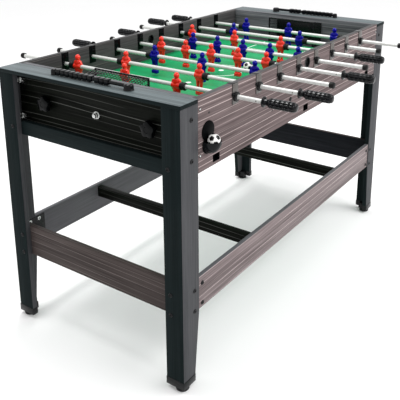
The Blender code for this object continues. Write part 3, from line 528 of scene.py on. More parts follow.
grey_board = laminate("grey_woodgrain", "y", (0.034, 0.046, 0.050), (0.125, 0.158, 0.168),
                      (0.26, 0.30, 0.30), 0.40, 0.36, (48.0, 0.060, 0.008), 0.20)
grey_wall = laminate("grey_wall", "y", (0.026, 0.028, 0.031), (0.165, 0.168, 0.182),
                     (0.30, 0.29, 0.29), 0.45, 0.42, (44.0, 0.055, 0.010), 0.16)
side_board = laminate("grey_side_board", "z", (0.030, 0.031, 0.034), (0.066, 0.067, 0.072),
                      (0.10, 0.10, 0.11), 0.25, 0.44, gloss=0.15, dusty=0.02)
driftwood = laminate("driftwood", "x", (0.078, 0.059, 0.060), (0.260, 0.212, 0.213),
                     (0.68, 0.57, 0.56), 0.92, 0.46, (58.0, 0.055, 0.010), 0.16)
# The apron's driftwood is the stretchers' laminate made darker as painted shade.
painted_shade_apron = laminate("painted_shade_apron_driftwood", "x", (0.046, 0.034, 0.034), (0.205, 0.158, 0.158),
                       (0.66, 0.55, 0.53), 0.95, 0.50, (60.0, 0.060, 0.011), 0.05, 0.01)
# The end stretchers' driftwood is that laminate made much darker as painted shade.
painted_shade_end_driftwood = laminate("painted_shade_end_driftwood", "y", (0.024, 0.018, 0.017), (0.092, 0.074, 0.070),
                         (0.36, 0.31, 0.30), 0.60, 0.48, (62.0, 0.050, 0.010), 0.08, 0.01)
inner_board = laminate("inner_board", "x", (0.090, 0.088, 0.096), (0.140, 0.138, 0.150),
                       (0.22, 0.21, 0.21), 0.20, 0.48, (30.0, 0.050, 0.008), 0.16)
# The long walls' inner faces are that driftwood made dark as painted shade.
painted_shade_wall_inside = laminate("painted_shade_wall_inside", "x", (0.020, 0.019, 0.020), (0.082, 0.078, 0.080),
                          (0.24, 0.21, 0.20), 0.55, 0.46, (42.0, 0.050, 0.008), 0.14, 0.02)
# A near-black board for the end stretchers' inner faces: painted shade.
shade_board = laminate("shaded_board", "y", (0.005, 0.006, 0.008), (0.017, 0.019, 0.024),
                       (0.04, 0.04, 0.05), 0.4, 0.48, gloss=0.08, dusty=0.01)
dark_board = {along: laminate("dark_end_board", along, (0.003, 0.006, 0.0065),
                              (0.009, 0.0155, 0.0165), (0.02, 0.03, 0.03), 0.4, 0.46,
                              gloss=0.05, dusty=0.006)
              for along in ("y", "z")}
black_board = laminate("black_woodgrain", "y", (0.0006, 0.0008, 0.0006), (0.009, 0.011, 0.008),
                       (0.14, 0.145, 0.135), 1.0, 0.40, (60.0, 0.060, 0.040), 0.04, 0.005)
black_plastic = moulded("black_plastic", (0.003, 0.0035, 0.004), (0.012, 0.013, 0.014), 0.24,
                        gloss=0.20)
gloss_black = moulded("gloss_black_plastic", (0.0015, 0.002, 0.002), (0.005, 0.006, 0.007),
                      0.05, 0.03, gloss=0.06)
smoky_plastic = moulded("smoky_saddle_plastic", (0.085, 0.078, 0.074), (0.150, 0.138, 0.130),
                        0.14, 0.05, gloss=0.30)
grip_rubber = moulded("grip_rubber", (0.0015, 0.002, 0.0025), (0.006, 0.007, 0.009), 0.12, 0.12,
                      900.0, 0.22)
bumper_rubber = moulded("bumper_rubber", (0.004, 0.004, 0.004), (0.012, 0.012, 0.012), 0.42, 0.3,
                        gloss=0.16)
team_plastic = {
    "red": moulded("red_player_plastic", (0.76, 0.017, 0.006), (0.84, 0.060, 0.026), 0.14,
                   0.04, gloss=0.42),
    "blue": moulded("blue_player_plastic", (0.0008, 0.0004, 0.200), (0.003, 0.002, 0.260), 0.12,
                    0.04, gloss=0.16)}
bead_plastic = moulded("bead_plastic", (0.0008, 0.0012, 0.0018), (0.003, 0.0045, 0.007), 0.04,
                       0.03, gloss=0.19)
matt_black = moulded("matt_black_plastic", (0.0010, 0.0012, 0.0014), (0.003, 0.0035, 0.004),
                     0.42, 0.05, gloss=0.02)
return_plastic = moulded("return_plastic", (0.003, 0.004, 0.0045), (0.012, 0.014, 0.016), 0.06,
                         0.03, gloss=0.12)
knob_plastic = moulded("knob_plastic", (0.001, 0.0014, 0.0015), (0.004, 0.005, 0.006), 0.10, 0.05,
                       gloss=0.10)
white_steel = painted_steel("white_coated_steel", (0.57, 0.58, 0.56), 0.10, 0.22)
zinc = painted_steel("zinc_plated_steel", (0.62, 0.63, 0.62), 1.0, 0.20)
bolt_steel = painted_steel("blackened_steel", (0.006, 0.006, 0.007), 0.0, 0.30, 0.16)
ball_white = moulded("ball_white", (0.84, 0.84, 0.82), (0.70, 0.70, 0.68), 0.16, 0.03)
ball_black = moulded("ball_black", (0.004, 0.004, 0.004), (0.012, 0.012, 0.012), 0.14, 0.03,
                     gloss=0.2)
field_print = field_finish()
pool_felt = felt_finish()
line_ink = line_finish()


# Mesh helpers

def put(name, data):
    """Show a mesh, curve, lamp or lens in the scene."""
    made = bpy.data.objects.new(name, data)
    bpy.context.scene.collection.objects.link(made)
    return made


def as_mesh(bm, name="shape"):
    """Turn a bmesh into a mesh and let it go."""
    mesh = bpy.data.meshes.new(name)
    bm.to_mesh(mesh)
    bm.free()
    return mesh


def add_piece(name, bm, finishes, body="cabinet", node=None, smooth=35):
    """Close a bmesh into a piece that rides on a body and may stand for a node."""
    piece = put(name, as_mesh(bm, name))
    for finish in finishes:
        piece.data.materials.append(finish)
    piece.data.shade_smooth()
    piece.data.set_sharp_from_angle(angle=math.radians(smooth))
    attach(piece, body)
    if node:
        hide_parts(node)


def fresh(bm, before):
    return [vert for vert in bm.verts if vert not in before]


def paint(bm, choose):
    """Give each face the finish that a rule chooses."""
    for face in bm.faces:
        face.material_index = choose(face)
    return bm


def outward(direction, top=False):
    """The first finish on faces that look one way, or up, and the second on the others."""
    return lambda face: 0 if (face.normal.dot(direction) > 0.5
                              or top and face.normal.z > 0.5) else 1


def bevel_edges(bm, verts, width, segments=2):
    chosen = set(verts)
    edges = [edge for edge in bm.edges if edge.verts[0] in chosen and edge.verts[1] in chosen
             and len(edge.link_faces) == 2 and edge.calc_face_angle() > math.radians(30)]
    bmesh.ops.bevel(bm, geom=edges, offset=width, segments=segments, profile=0.5,
                    affect="EDGES", material=-1, clamp_overlap=True)


def add_block(bm, corner, opposite, edge=0.0, segments=2):
    """A box between opposite corners, given in any order, with rounded edges."""
    pairs = list(zip(corner, opposite))
    low, high = Vector([min(pair) for pair in pairs]), Vector([max(pair) for pair in pairs])
    before = set(bm.verts)
    place = Matrix.Translation((low + high) / 2) @ Matrix.Diagonal((*(high - low), 1))
    bmesh.ops.create_cube(bm, size=1, matrix=place)
    if edge:
        bevel_edges(bm, fresh(bm, before), edge, segments)


def add_turned(bm, profile, place=Matrix(), steps=40, finish=0):
    """Spin (radius, height) points about the Z of a placed frame."""
    faces = set(bm.faces)
    before = set(bm.verts)
    points = [bm.verts.new((radius, 0, height)) for radius, height in profile]
    pairs = list(zip(points, points[1:]))
    if profile[0][0] > 0 and profile[-1][0] > 0:
        pairs.append((points[-1], points[0]))
    edges = [bm.edges.new(pair) for pair in pairs]
    bmesh.ops.spin(bm, geom=points + edges, axis=UP, cent=(0, 0, 0), angle=math.tau,
                   steps=steps, use_merge=True, use_duplicate=False)
    bmesh.ops.remove_doubles(bm, verts=fresh(bm, before), dist=WELD / 10)
    made = fresh(bm, before)
    skin = [face for face in bm.faces if face not in faces]
    bmesh.ops.recalc_face_normals(bm, faces=skin)
    bmesh.ops.transform(bm, matrix=place, verts=made)
    for face in skin:
        face.material_index = finish
    return made


def turned(profile, place, steps=40):
    bm = bmesh.new()
    add_turned(bm, profile, place, steps)
    return bm


def rounded(points, radius):
    """Cut the inner corners of a (radius, height) profile back to short chamfers."""
    made = [points[0]]
    for before, here, after in zip(points, points[1:], points[2:]):
        for other in (before, after):
            way = Vector(other) - Vector(here)
            step = min(radius, way.length * 0.45)
            made.append(tuple(Vector(here) + way.normalized() * step))
    return made + [points[-1]]


def frame_along(centre, direction):
    """A place whose Z runs along a direction."""
    turn = UP.rotation_difference(Vector(direction))
    return Matrix.Translation(centre) @ turn.to_matrix().to_4x4()


def on_wall(side, x, z):
    """A place on the outside of a long wall whose Z points outwards."""
    return frame_along((x, side * outer_y, z), ACROSS * side)


def evaluated_shape(shape):
    """The bmesh of a loose object with its modifiers, which is then removed."""
    graph = bpy.context.evaluated_depsgraph_get()
    mesh = bpy.data.meshes.new_from_object(shape.evaluated_get(graph))
    bpy.data.objects.remove(shape, do_unlink=True)
    bm = bmesh.new()
    bm.from_mesh(mesh)
    return bm


def carved(bm, cutters):
    """Take the cutters' shapes out of a body."""
    shape = put("shape", as_mesh(bm))
    tool = put("tool", as_mesh(cutters))
    modifier = shape.modifiers.new("carve", "BOOLEAN")
    modifier.operation = "DIFFERENCE"
    modifier.solver = "EXACT"
    modifier.object = tool
    bm = evaluated_shape(shape)
    bpy.data.objects.remove(tool, do_unlink=True)
    return bm


def cut_away(bm, point, normal):
    """Remove what lies beyond a plane."""
    bmesh.ops.bisect_plane(bm, geom=[*bm.verts, *bm.edges, *bm.faces], plane_co=point,
                           plane_no=normal, clear_outer=True)


def add_pin(bm, centre, direction, radius, length, sides=32):
    bmesh.ops.create_cone(bm, cap_ends=True, segments=sides, radius1=radius, radius2=radius,
                          depth=length, matrix=frame_along(centre, direction))


def join(bm, mesh, place=None):
    """Add a mesh to a bmesh, in a place if one is given."""
    before = set(bm.verts) if place else None
    bm.from_mesh(mesh)
    if place:
        bmesh.ops.transform(bm, matrix=place, verts=fresh(bm, before))


def node_copy(node):
    """A merged copy of a solid's mesh, with its flat faces made whole."""
    bm = bmesh.new()
    bm.from_mesh(frame["nodes"][node].data)
    bmesh.ops.remove_doubles(bm, verts=list(bm.verts), dist=WELD)
    bmesh.ops.dissolve_limit(bm, angle_limit=math.radians(1), verts=list(bm.verts),
                             edges=list(bm.edges))
    return bm


def body_of(node):
    bodies = frame["record"]["behaviour"]["bodies"]
    return next(body for body, nodes in bodies.items() if node in nodes)


def dressed_board(node, finishes, choose=lambda face: 0):
    """A board with eased edges in the place of its solid."""
    bm = node_copy(node)
    bevel_edges(bm, bm.verts, WALL_EDGE)
    add_piece(node + "_board", paint(bm, choose), finishes, body_of(node), node)


# Stand

def dress_stand():
    for end, end_name in ENDS.items():
        for side_name in SIDES.values():
            dress_leg(f"leg_{end_name}_{side_name}", end)
        dressed_board(f"end_panel_{end_name}", [black_board])
        dressed_board(f"end_rail_{end_name}", [dark_board["y"]])
        # End stretchers: darkened driftwood outside and on top, near-black inside, both painted
        # shade.
        dressed_board(f"end_stretcher_{end_name}", [painted_shade_end_driftwood, shade_board],
                      outward(AWAY * end, top=True))
        dressed_board(f"cross_bar_{end_name}", [black_board])
        dress_top_board(end, end_name)
    for side, side_name in SIDES.items():
        dressed_board(f"long_stretcher_{side_name}", [driftwood, inner_board],
                      outward(ACROSS * side))


def dress_leg(node, end):
    """The end board and the inner edge are nearly black, the side grey, the shoe plastic."""
    shoe_top = outer(node, -1, 2) + SHOE_HEIGHT
    board_face = outer(node, end, 0) - end * PLATE

    def choose(face):
        middle = face.calc_center_median()
        if middle.z < shoe_top:
            return 2
        depth = (middle.x - board_face) * end
        looks_out = face.normal.x * end
        facing_end = looks_out > 0.7 and depth > -0.002
        inside = depth > -LEG_BOARD and abs(face.normal.y) < 0.7
        return 0 if facing_end or inside or looks_out < -0.7 else 1

    dressed_board(node, [dark_board["z"], side_board, black_plastic], choose)


def dress_top_board(end, end_name):
    """The board with eased edges, and the score rail's posts and wire on it."""
    node = f"top_board_{end_name}"
    low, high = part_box(node)
    board = bmesh.new()
    add_block(board, low, (high.x, high.y, table_top), 0.0014, 3)
    paint(board, lambda face: 0 if face.normal.z > 0.5 else 1)
    add_piece(node + "_laminate", board, [grey_board, dark_board["y"]], "stand",
              node)

    rail = bmesh.new()
    x = middle_of(node).x
    for side in SIDES:
        flare = SCORE_POST_FLARE if side == end else -SCORE_POST_FLARE / 2
        r = SCORE_POST_RADIUS + flare
        y = side * (SCORE_HALF_LENGTH - SCORE_POST_RADIUS + flare)
        top = SCORE_POST_HEIGHT
        profile = [(0, top), (r * 0.62, top * 0.98), (r * 0.90, top * 0.88), (r, top * 0.68),
                   (r, 0.0030), (r * 1.08, 0.0016), (r * 1.08, 0), (0, 0)]
        add_turned(rail, rounded(profile, 0.0006), Matrix.Translation((x, y, table_top)))
    add_pin(rail, (x, 0, table_top + SCORE_RISE), ACROSS, SCORE_WIRE_RADIUS,
            2 * (SCORE_HALF_LENGTH - SCORE_POST_RADIUS))
    add_piece(f"score_rail_{end_name}", rail, [bead_plastic], "stand")


def dress_score_beads(end, end_name):
    """Eleven blocky counters in a row: eight, a gap and three."""
    node = f"score_beads_{end_name}"
    half = SCORE_PITCH * 0.46
    corner = SCORE_BEAD_HALF_WIDTH * math.sqrt(2)
    bore = (SCORE_WIRE_RADIUS + SCORE_PLAY) * math.sqrt(2)
    profile = [(bore, half), (corner * 0.80, half), (corner, half * 0.66),
               (corner, -half * 0.66), (corner * 0.80, -half), (bore, -half)]
    bm = bmesh.new()
    for index in range(SCORE_BEADS):
        along = SCORE_PITCH * (index + (1 if index >= SCORE_GAP_AFTER else 0.5))
        centre = (middle_of(node).x, outer(node, -end, 1) + end * along, table_top + SCORE_RISE)
        made = add_turned(bm, profile, frame_along(centre, ACROSS)
                          @ Matrix.Rotation(math.pi / 4, 4, "Z"), 4)
        bevel_edges(bm, made, SCORE_BEAD_EDGE, 3)
    add_piece(f"score_counters_{end_name}", bm, [bead_plastic], body_of(node), node=node,
              smooth=50)


def dress_knob(end, corner):
    """A lobed clamping knob with a domed head, a hub and its stud."""
    node = f"lock_knob_{corner}"
    centre = middle_of(node)
    face = outer(node, end, 0) - end * KNOB_REACH
    rings = ((0.93, 0.0), (0.93, 0.30), (1.0, 0.34), (1.0, 0.80), (0.92, 0.93), (0.74, 1.0),
             (0.24, 1.0), (0.10, 0.97), (0.0, 0.86), (0.0, 0.55))
    profile = [(KNOB_RADIUS * radius, KNOB_HUB + KNOB_HEAD * height) for height, radius in rings]
    bm = bmesh.new()
    for vert in add_turned(bm, profile + [(0, KNOB_HUB)], steps=90):
        radius = math.hypot(vert.co.x, vert.co.y)
        if radius > KNOB_HUB_RADIUS:
            angle = math.atan2(vert.co.y, vert.co.x)
            sink = KNOB_LOBE * (1 - math.cos(KNOB_LOBES * angle)) / 2 * radius / KNOB_RADIUS
            vert.co.x *= 1 - sink / radius
            vert.co.y *= 1 - sink / radius
    hub = [(0, KNOB_HUB + 0.001), (KNOB_HUB_RADIUS * 0.86, KNOB_HUB + 0.001),
           (KNOB_HUB_RADIUS, 0.0006), (KNOB_HUB_RADIUS * 0.93, 0), (KNOB_STUD_RADIUS, 0),
           (KNOB_STUD_RADIUS, -KNOB_STUD), (0, -KNOB_STUD)]
    add_turned(bm, hub, steps=32)
    bmesh.ops.transform(bm, matrix=frame_along((face, centre.y, centre.z), AWAY * end),
                        verts=list(bm.verts))
    add_piece(f"clamp_knob_{corner}", bm, [knob_plastic], body_of(node), node=node)


def dress_leveler(corner):
    node = f"leveler_{corner}"
    low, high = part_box(node)
    centre = middle_of(node)
    r = (high.x - low.x) / 2
    disc = LEVELER_DISC
    stud = LEVELER_STUD_RADIUS
    profile = [(0, high.z), (stud * 0.9, high.z), (stud, high.z - 0.0005), (stud, disc + 0.0032),
               (r * 0.72, disc + 0.0028), (r * 0.80, disc), (r * 0.97, disc * 0.72),
               (r, disc * 0.5), (r, 0.0016), (r * 0.96, 0.0004), (r * 0.90, 0), (0, 0)]
    add_piece(f"foot_{corner}", turned(profile, Matrix.Translation((centre.x, centre.y, 0)), 44),
              [black_plastic], body_of(node), node=node)


# Cabinet

def wall_cutters(side):
    """Saddle slots, serve hole, pocket windows and the ball return's hole in a long wall."""
    cutters = bmesh.new()
    middle = side * wall_y
    reach = WALL / 2 + CUT_OVERRUN
    for rod in RODS:
        x = rod_x(rod)
        add_block(cutters, (x - SADDLE_WIDTH / 2, middle - reach, rod_z - SADDLE_BELOW),
                  (x + SADDLE_WIDTH / 2, middle + reach, table_top + CUT_OVERRUN))
    for x, z, radius in ((0, table_top - SERVE_HOLE_DROP, SERVE_HOLE_RADIUS),
                         (side * RETURN_PLACE, NECK_Z, NECK_RADIUS)):
        add_pin(cutters, (x, middle, z), ACROSS, radius, 2 * reach, 48)
    for x in WINDOWS:
        add_block(cutters, (x - WINDOW_WIDTH / 2, middle - reach, WINDOW_LOW),
                  (x + WINDOW_WIDTH / 2, middle + reach, WINDOW_HIGH), WINDOW_CORNER)
    return cutters


def dress_long_wall(side, side_name):
    wall = bmesh.new()
    add_block(wall, (-outer_x, side * inner_y, apron_bottom),
              (outer_x, side * outer_y, table_top), WALL_EDGE)
    wall = paint(carved(wall, wall_cutters(side)), outward(ACROSS * side))
    # Apron outside and inner faces are darkened driftwood laminates: painted shade.
    add_piece(f"long_wall_{side_name}", wall, [painted_shade_apron, painted_shade_wall_inside],
              node=f"cabinet_side_wall_{side_name}")
    add_saddles(side, side_name)
    add_wall_trim(side, side_name)


def add_saddles(side, side_name):
    """The split bearings: a saddle, smoky outside and black inside, and a black eared plate."""
    saddles, holes, plates, screws = (bmesh.new() for _ in range(4))
    for rod in RODS:
        x = rod_x(rod)
        handle_side = facing(rod) == side
        bore = SLEEVE_HOLE if handle_side else ROD_HOLE
        add_block(saddles, (x - SADDLE_WIDTH / 2, side * (inner_y - SADDLE_PROUD),
                            rod_z - SADDLE_BELOW),
                  (x + SADDLE_WIDTH / 2, side * (outer_y + SADDLE_PROUD), table_top), 0.0012, 3)
        add_pin(holes, (x, side * wall_y, rod_z), ACROSS, bore, 3 * WALL, 40)
        extra = HUB_EXTRA if not handle_side and TEAMS[rod - 1][1] > 2 else 0
        add_eared_plate(plates, screws, x, side, bore, EAR_PROUD + extra)
    saddles = paint(carved(saddles, holes), outward(ACROSS * side))
    add_piece(f"rod_saddles_{side_name}", saddles, [smoky_plastic, gloss_black])
    add_piece(f"bearing_plates_{side_name}", plates, [black_plastic])
    add_piece(f"bearing_screws_{side_name}", screws, [bolt_steel])


def add_eared_plate(plates, screws, x, side, bore, proud):
    """A hub with two screw ears, tilted as it is fitted."""
    place = on_wall(side, x, rod_z) @ Matrix.Rotation(EAR_TILT * side, 4, "Z")
    thick = EAR_PROUD * 0.55
    profile = [(bore, proud), (HUB_RADIUS * 0.88, proud), (HUB_RADIUS * 0.98, proud - 0.0010),
               (HUB_RADIUS, proud - 0.0018), (HUB_RADIUS, 0), (bore, 0)]
    add_turned(plates, profile, place)
    for way in (-1, 1):
        ear = bmesh.new()
        add_pin(ear, (way * EAR_REACH, 0, thick / 2), UP, EAR_RADIUS, thick, 28)
        add_block(ear, (way * HUB_RADIUS * 0.82, -EAR_RADIUS * 0.98, 0),
                  (way * EAR_REACH, EAR_RADIUS * 0.98, thick))
        bevel_edges(ear, ear.verts, 0.0006)
        join(plates, as_mesh(ear), place)
        add_screw(screws, place @ Matrix.Translation((way * EAR_REACH, 0, thick)), EAR_SCREW)


def add_screw(bm, place, share=1.0, head=1.0):
    """A pan head, as a share of the full screw's radius and height."""
    r = SCREW_RADIUS * share
    height = SCREW_HEAD * head
    profile = [(0, height), (r * 0.55, height * 0.96), (r * 0.88, height * 0.62),
               (r, height * 0.22), (r, -height * 0.3), (0, -height * 0.3)]
    add_turned(bm, profile, place, 20)


def add_wall_trim(side, side_name):
    """Rim and flap of the serve hole, pocket windows whose black liners are closed at the back as
    painted shade, and the screws of a long wall.
    """
    face = on_wall(side, 0, table_top - SERVE_HOLE_DROP)
    bore = SERVE_HOLE_RADIUS - 0.0012
    profile = [(bore, 0.0012), (SERVE_CUP_RADIUS - 0.0008, 0.0012),
               (SERVE_CUP_RADIUS, 0.0004), (SERVE_CUP_RADIUS, 0), (SERVE_HOLE_RADIUS - SEAT, 0),
               (SERVE_HOLE_RADIUS - SEAT, -WALL), (bore, -WALL)]
    rims = turned(profile, face, 48)
    flap = SERVE_HOLE_RADIUS - 0.0018
    add_turned(rims, [(0, -WALL * 0.42), (flap * 0.7, -WALL * 0.38), (flap, -WALL * 0.30),
                      (flap, -WALL * 0.40), (flap * 0.7, -WALL * 0.50), (0, -WALL * 0.54)], face)
    add_piece(f"serve_hole_rim_{side_name}", rims, [black_plastic])

    liners_and_shade_backs, voids, screws, dark = (bmesh.new() for _ in range(4))
    lip = WINDOW_LIP
    half = WINDOW_WIDTH / 2 - SEAT
    reach = WALL / 2
    middle = side * wall_y
    # Each window liner's closed back is a gloss black sheet standing in as painted shade.
    for x in WINDOWS:
        add_block(liners_and_shade_backs, (x - half, middle - reach - lip, WINDOW_LOW + SEAT),
                  (x + half, middle + reach + lip, WINDOW_HIGH - SEAT), LINER_CORNER)
        add_block(voids, (x - half + lip, middle - side * (reach - lip), WINDOW_LOW + SEAT + lip),
                  (x + half - lip, middle + side * WALL, WINDOW_HIGH - SEAT - lip),
                  LINER_BORE_CORNER)
    add_piece(f"window_liners_and_shade_backs_{side_name}", carved(liners_and_shade_backs, voids), [gloss_black])

    for end in ENDS:
        for z in (table_top - CORNER_SCREW_DROP, apron_bottom + CORNER_SCREW_RISE):
            place = on_wall(side, end * (outer_x - WALL / 2), z)
            add_screw(screws, place, CORNER_SCREW)
            add_screw(dark, place, *CORNER_SCREW_WASHER)
    add_piece(f"corner_screws_{side_name}", screws, [zinc])
    for place in FIELD_SCREWS:
        add_screw(dark, on_wall(side, *place), *FIELD_SCREW)
    add_screw(dark, on_wall(side, *PLUG_PLACE), PLUG_RADIUS / SCREW_RADIUS,
              PLUG_HEAD / SCREW_HEAD)
    add_piece(f"field_screws_{side_name}", dark, [bolt_steel])


def dress_end_wall(end, end_name):
    """The end wall's board, and the pivot's bright washer and cap nut."""
    node = f"cabinet_end_wall_{end_name}"
    half = inner_y - SEAT
    wall = bmesh.new()
    add_block(wall, (end * inner_x, -half, apron_bottom), (end * outer_x, half, table_top),
              WALL_EDGE)
    add_piece(node + "_board", wall, [grey_wall], node=node)
    nut = PIVOT_NUT
    profile = [(0, 0), (nut * 0.35, -0.0003), (nut * 0.70, -0.0022), (nut * 0.86, -0.0058),
               (nut * 0.87, -0.0065), (nut, -0.0066), (nut, -0.0119), (0.0062, -0.0119),
               (0.0062, -0.0121), (0.0095, -0.0121), (0.0100, -0.0126), (0.0100, -0.0139),
               (0.0060, -0.0139), (0.0060, -0.0350), (0, -0.0350)]
    place = frame_along((outer(node, end, 0), 0, middle_of(node).z), AWAY * end)
    add_piece(f"pivot_nut_{end_name}", turned(profile, place, 48), [zinc])


def dress_field():
    """The printed board, its white markings and the pool bed beneath."""
    add_piece("field_board", node_copy("foosball_field"), [field_print],
              node="foosball_field")
    add_field_lines()
    bed = node_copy("pool_bed")
    bevel_edges(bed, bed.verts, 0.0012)
    add_piece("pool_bed_and_cushions", bed, [pool_felt], node="pool_bed")


def add_field_lines():
    """Centre circle, a box before each goal and three spots."""
    bm = bmesh.new()
    half = LINE / 2
    low, high = field_top - SEAT, field_top + LINE_RISE
    for end in ENDS:
        front = end * BOX_REACH
        add_block(bm, (front - half, -BOX_HALF_WIDTH - half, low),
                  (front + half, BOX_HALF_WIDTH + half, high))
        back = end * (FIELD_END - FIELD_MARGIN)
        for side in SIDES:
            y = side * BOX_HALF_WIDTH
            add_block(bm, (back + end * half, y - half, low), (front + end * half, y + half, high))
    ring = [(CENTRE_CIRCLE + half, LINE_RISE), (CENTRE_CIRCLE + half, -SEAT),
            (CENTRE_CIRCLE - half, -SEAT), (CENTRE_CIRCLE - half, LINE_RISE)]
    add_turned(bm, ring, Matrix.Translation((0, 0, field_top)), 72)
    for x in SPOTS:
        add_turned(bm, [(0, SPOT_RISE), (SPOT, SPOT_RISE), (SPOT, -SEAT), (0, -SEAT)],
                   Matrix.Translation((x, 0, field_top)), 28)
    add_piece("field_lines", bm, [line_ink])


def add_wire(bm, points, radius):
    """A round wire through points, mitred at its corners."""
    curve = bpy.data.curves.new("wire", "CURVE")
    curve.dimensions = "3D"
    curve.bevel_depth = radius
    curve.bevel_resolution = 2
    curve.use_fill_caps = True
    spline = curve.splines.new("POLY")
    spline.points.add(len(points) - 1)
    for point, place in zip(spline.points, points):
        point.co = (*place, 1)
    shape = evaluated_shape(put("wire", curve))
    bmesh.ops.remove_doubles(shape, verts=list(shape.verts), dist=WELD)
    bmesh.ops.recalc_face_normals(shape, faces=list(shape.faces))
    join(bm, as_mesh(shape))


def dress_goal(end, end_name):
    """A moulded hoop with a knotted net that falls back to the end wall."""
    back = end * (inner_x - SEAT)
    front = back - end * GOAL_DEPTH
    behind = front + end * GOAL_BAR
    inside = front + end * GOAL_BAR / 2
    floor = field_top + SEAT
    top = table_top - GOAL_TOP_DROP
    back_top = floor + GOAL_BACK_HEIGHT
    half = GOAL_HALF_WIDTH
    bm = bmesh.new()
    for side in SIDES:
        y = side * half
        add_block(bm, (front, y, floor), (behind, side * (half - GOAL_BAR), top - GOAL_BAR * 0.6),
                  GOAL_EDGE, 3)
        add_block(bm, (inside, y, floor), (back, side * (half - GOAL_BAR / 2), floor + GOAL_BAR),
                  0.0012)
    add_block(bm, (front, -half, top - GOAL_BAR), (behind, half, top), GOAL_EDGE, 3)
    add_block(bm, (back, -half, floor), (back - end * GOAL_BACK_BAR, half, back_top), 0.0006)
    add_piece(f"goal_frame_{end_name}", bm, [black_plastic], node=f"goal_{end_name}")

    start = Vector((inside, 0, top - GOAL_BAR / 2))
    stop = Vector((back - end * GOAL_BACK_BAR / 2, 0, back_top - GOAL_BACK_BAR))
    reach = half - GOAL_BAR / 2
    columns = [-reach + 2 * reach * index / (NET_COLUMNS - 1) for index in range(NET_COLUMNS)]
    shares = [index / NET_ROWS for index in range(NET_ROWS + 1)]

    def net_point(y, share):
        drop = NET_SAG * math.sin(math.pi * share) * (1 - (y / reach) ** 2)
        place = start.lerp(stop, share)
        return (place.x, y, place.z - drop)

    net = bmesh.new()
    for y in columns:
        add_wire(net, [net_point(y, share) for share in shares], NET_STRAND)
    for share in shares[1:-1]:
        add_wire(net, [net_point(y, share) for y in columns], NET_CROSS_STRAND)
    for side in SIDES:
        y = side * (half - GOAL_BAR / 4)
        tops = [net_point(side * reach, share) for share in shares]
        for x, _, z in tops[1:-1]:
            add_wire(net, [(x, y, z), (x, y, floor + GOAL_BAR / 2)], NET_CROSS_STRAND)
        for share in shares[1:-1]:
            add_wire(net, [(x, y, floor + (z - floor) * share) for x, _, z in tops],
                     NET_CROSS_STRAND)
    add_piece(f"goal_net_{end_name}", net, [black_plastic])


def dress_ball_return(side, side_name):
    """A matt flange with a glossy cup, and the chute behind the wall."""
    node = f"ball_return_{side_name}"
    chute = node_copy(node)
    cut_away(chute, (0, side * (outer_y - CHUTE_BEHIND_FACE), 0), (0, side, 0))
    bevel_edges(chute, chute.verts, 0.0004)
    add_piece(f"ball_chute_{side_name}", chute, [black_plastic], node=node)

    x = side * RETURN_PLACE
    face = side * (outer_y + SEAT)
    cup = bored_disc(x, face, side, FLANGE_RADIUS, FLANGE_Z, FLANGE)
    join(cup, as_mesh(bored_disc(x, face, side, COLLAR_RADIUS, NECK_Z, FLANGE - SEAT)))
    outside = NECK_BORE + NECK_WALL
    neck = [(NECK_BORE, FLANGE * 0.6), (outside, FLANGE * 0.6), (outside, -WALL),
            (NECK_BORE, -WALL)]
    add_turned(cup, neck, frame_along((x, face, NECK_Z), ACROSS * side), 48, 1)
    add_cup(cup, x, face + side * FLANGE * 0.6, side)
    add_piece(f"ball_return_cup_{side_name}", cup, [matt_black, return_plastic])


def bored_disc(x, face, side, radius, height, thickness):
    """A flat disc on the wall with a rounded rim, cut by the neck's bore."""
    profile = [(0, thickness), (radius - 0.0022, thickness), (radius - 0.0006, thickness * 0.7),
               (radius, thickness * 0.3), (radius, 0), (0, 0)]
    disc = turned(profile, frame_along((x, face, height), ACROSS * side), 64)
    bore = bmesh.new()
    add_pin(bore, (x, face, NECK_Z), ACROSS, NECK_BORE, 4 * FLANGE, 48)
    return carved(disc, bore)


def add_cup(bm, x, y, side):
    """The lower half of a stretched bowl that stands out from the flange."""
    shape = bmesh.new()
    bmesh.ops.create_uvsphere(shape, u_segments=48, v_segments=24, radius=CUP_RADIUS)
    for plane in ((0, -side, 0), UP):
        cut_away(shape, (0, 0, 0), plane)
    bmesh.ops.recalc_face_normals(shape, faces=list(shape.faces))
    bmesh.ops.solidify(shape, geom=list(shape.faces), thickness=CUP_WALL)
    bmesh.ops.transform(shape, verts=list(shape.verts),
                        matrix=Matrix.Translation((x, y, CUP_RIM_Z)) @ Matrix.Diagonal(CUP_STRETCH))
    bmesh.ops.recalc_face_normals(shape, faces=list(shape.faces))
    join(bm, as_mesh(paint(shape, lambda face: 1)))


def add_ball(name, place, turn):
    """A small ball of twelve black and twenty white panels."""
    bm = bmesh.new()
    bmesh.ops.create_icosphere(bm, subdivisions=1, radius=BALL_RADIUS)
    bmesh.ops.bevel(bm, geom=list(bm.verts), offset=BALL_RADIUS * BALL_PANEL_CUT, segments=1,
                    profile=0.5, affect="VERTICES", material=-1)
    paint(bm, lambda face: 1 if len(face.verts) == 5 else 0)
    bmesh.ops.inset_individual(bm, faces=list(bm.faces), thickness=BALL_RADIUS * BALL_SEAM,
                               depth=0)
    bmesh.ops.triangulate(bm, faces=list(bm.faces))
    bmesh.ops.subdivide_edges(bm, edges=list(bm.edges), cuts=3, use_grid_fill=True)
    for vert in bm.verts:
        vert.co = vert.co.normalized() * BALL_RADIUS
    bmesh.ops.transform(bm, verts=list(bm.verts),
                        matrix=Matrix.Translation(place) @ Euler(turn, "ZYX").to_matrix().to_4x4())
    bmesh.ops.recalc_face_normals(bm, faces=list(bm.faces))
    add_piece(name, bm, [ball_white, ball_black], smooth=60)


# Rods

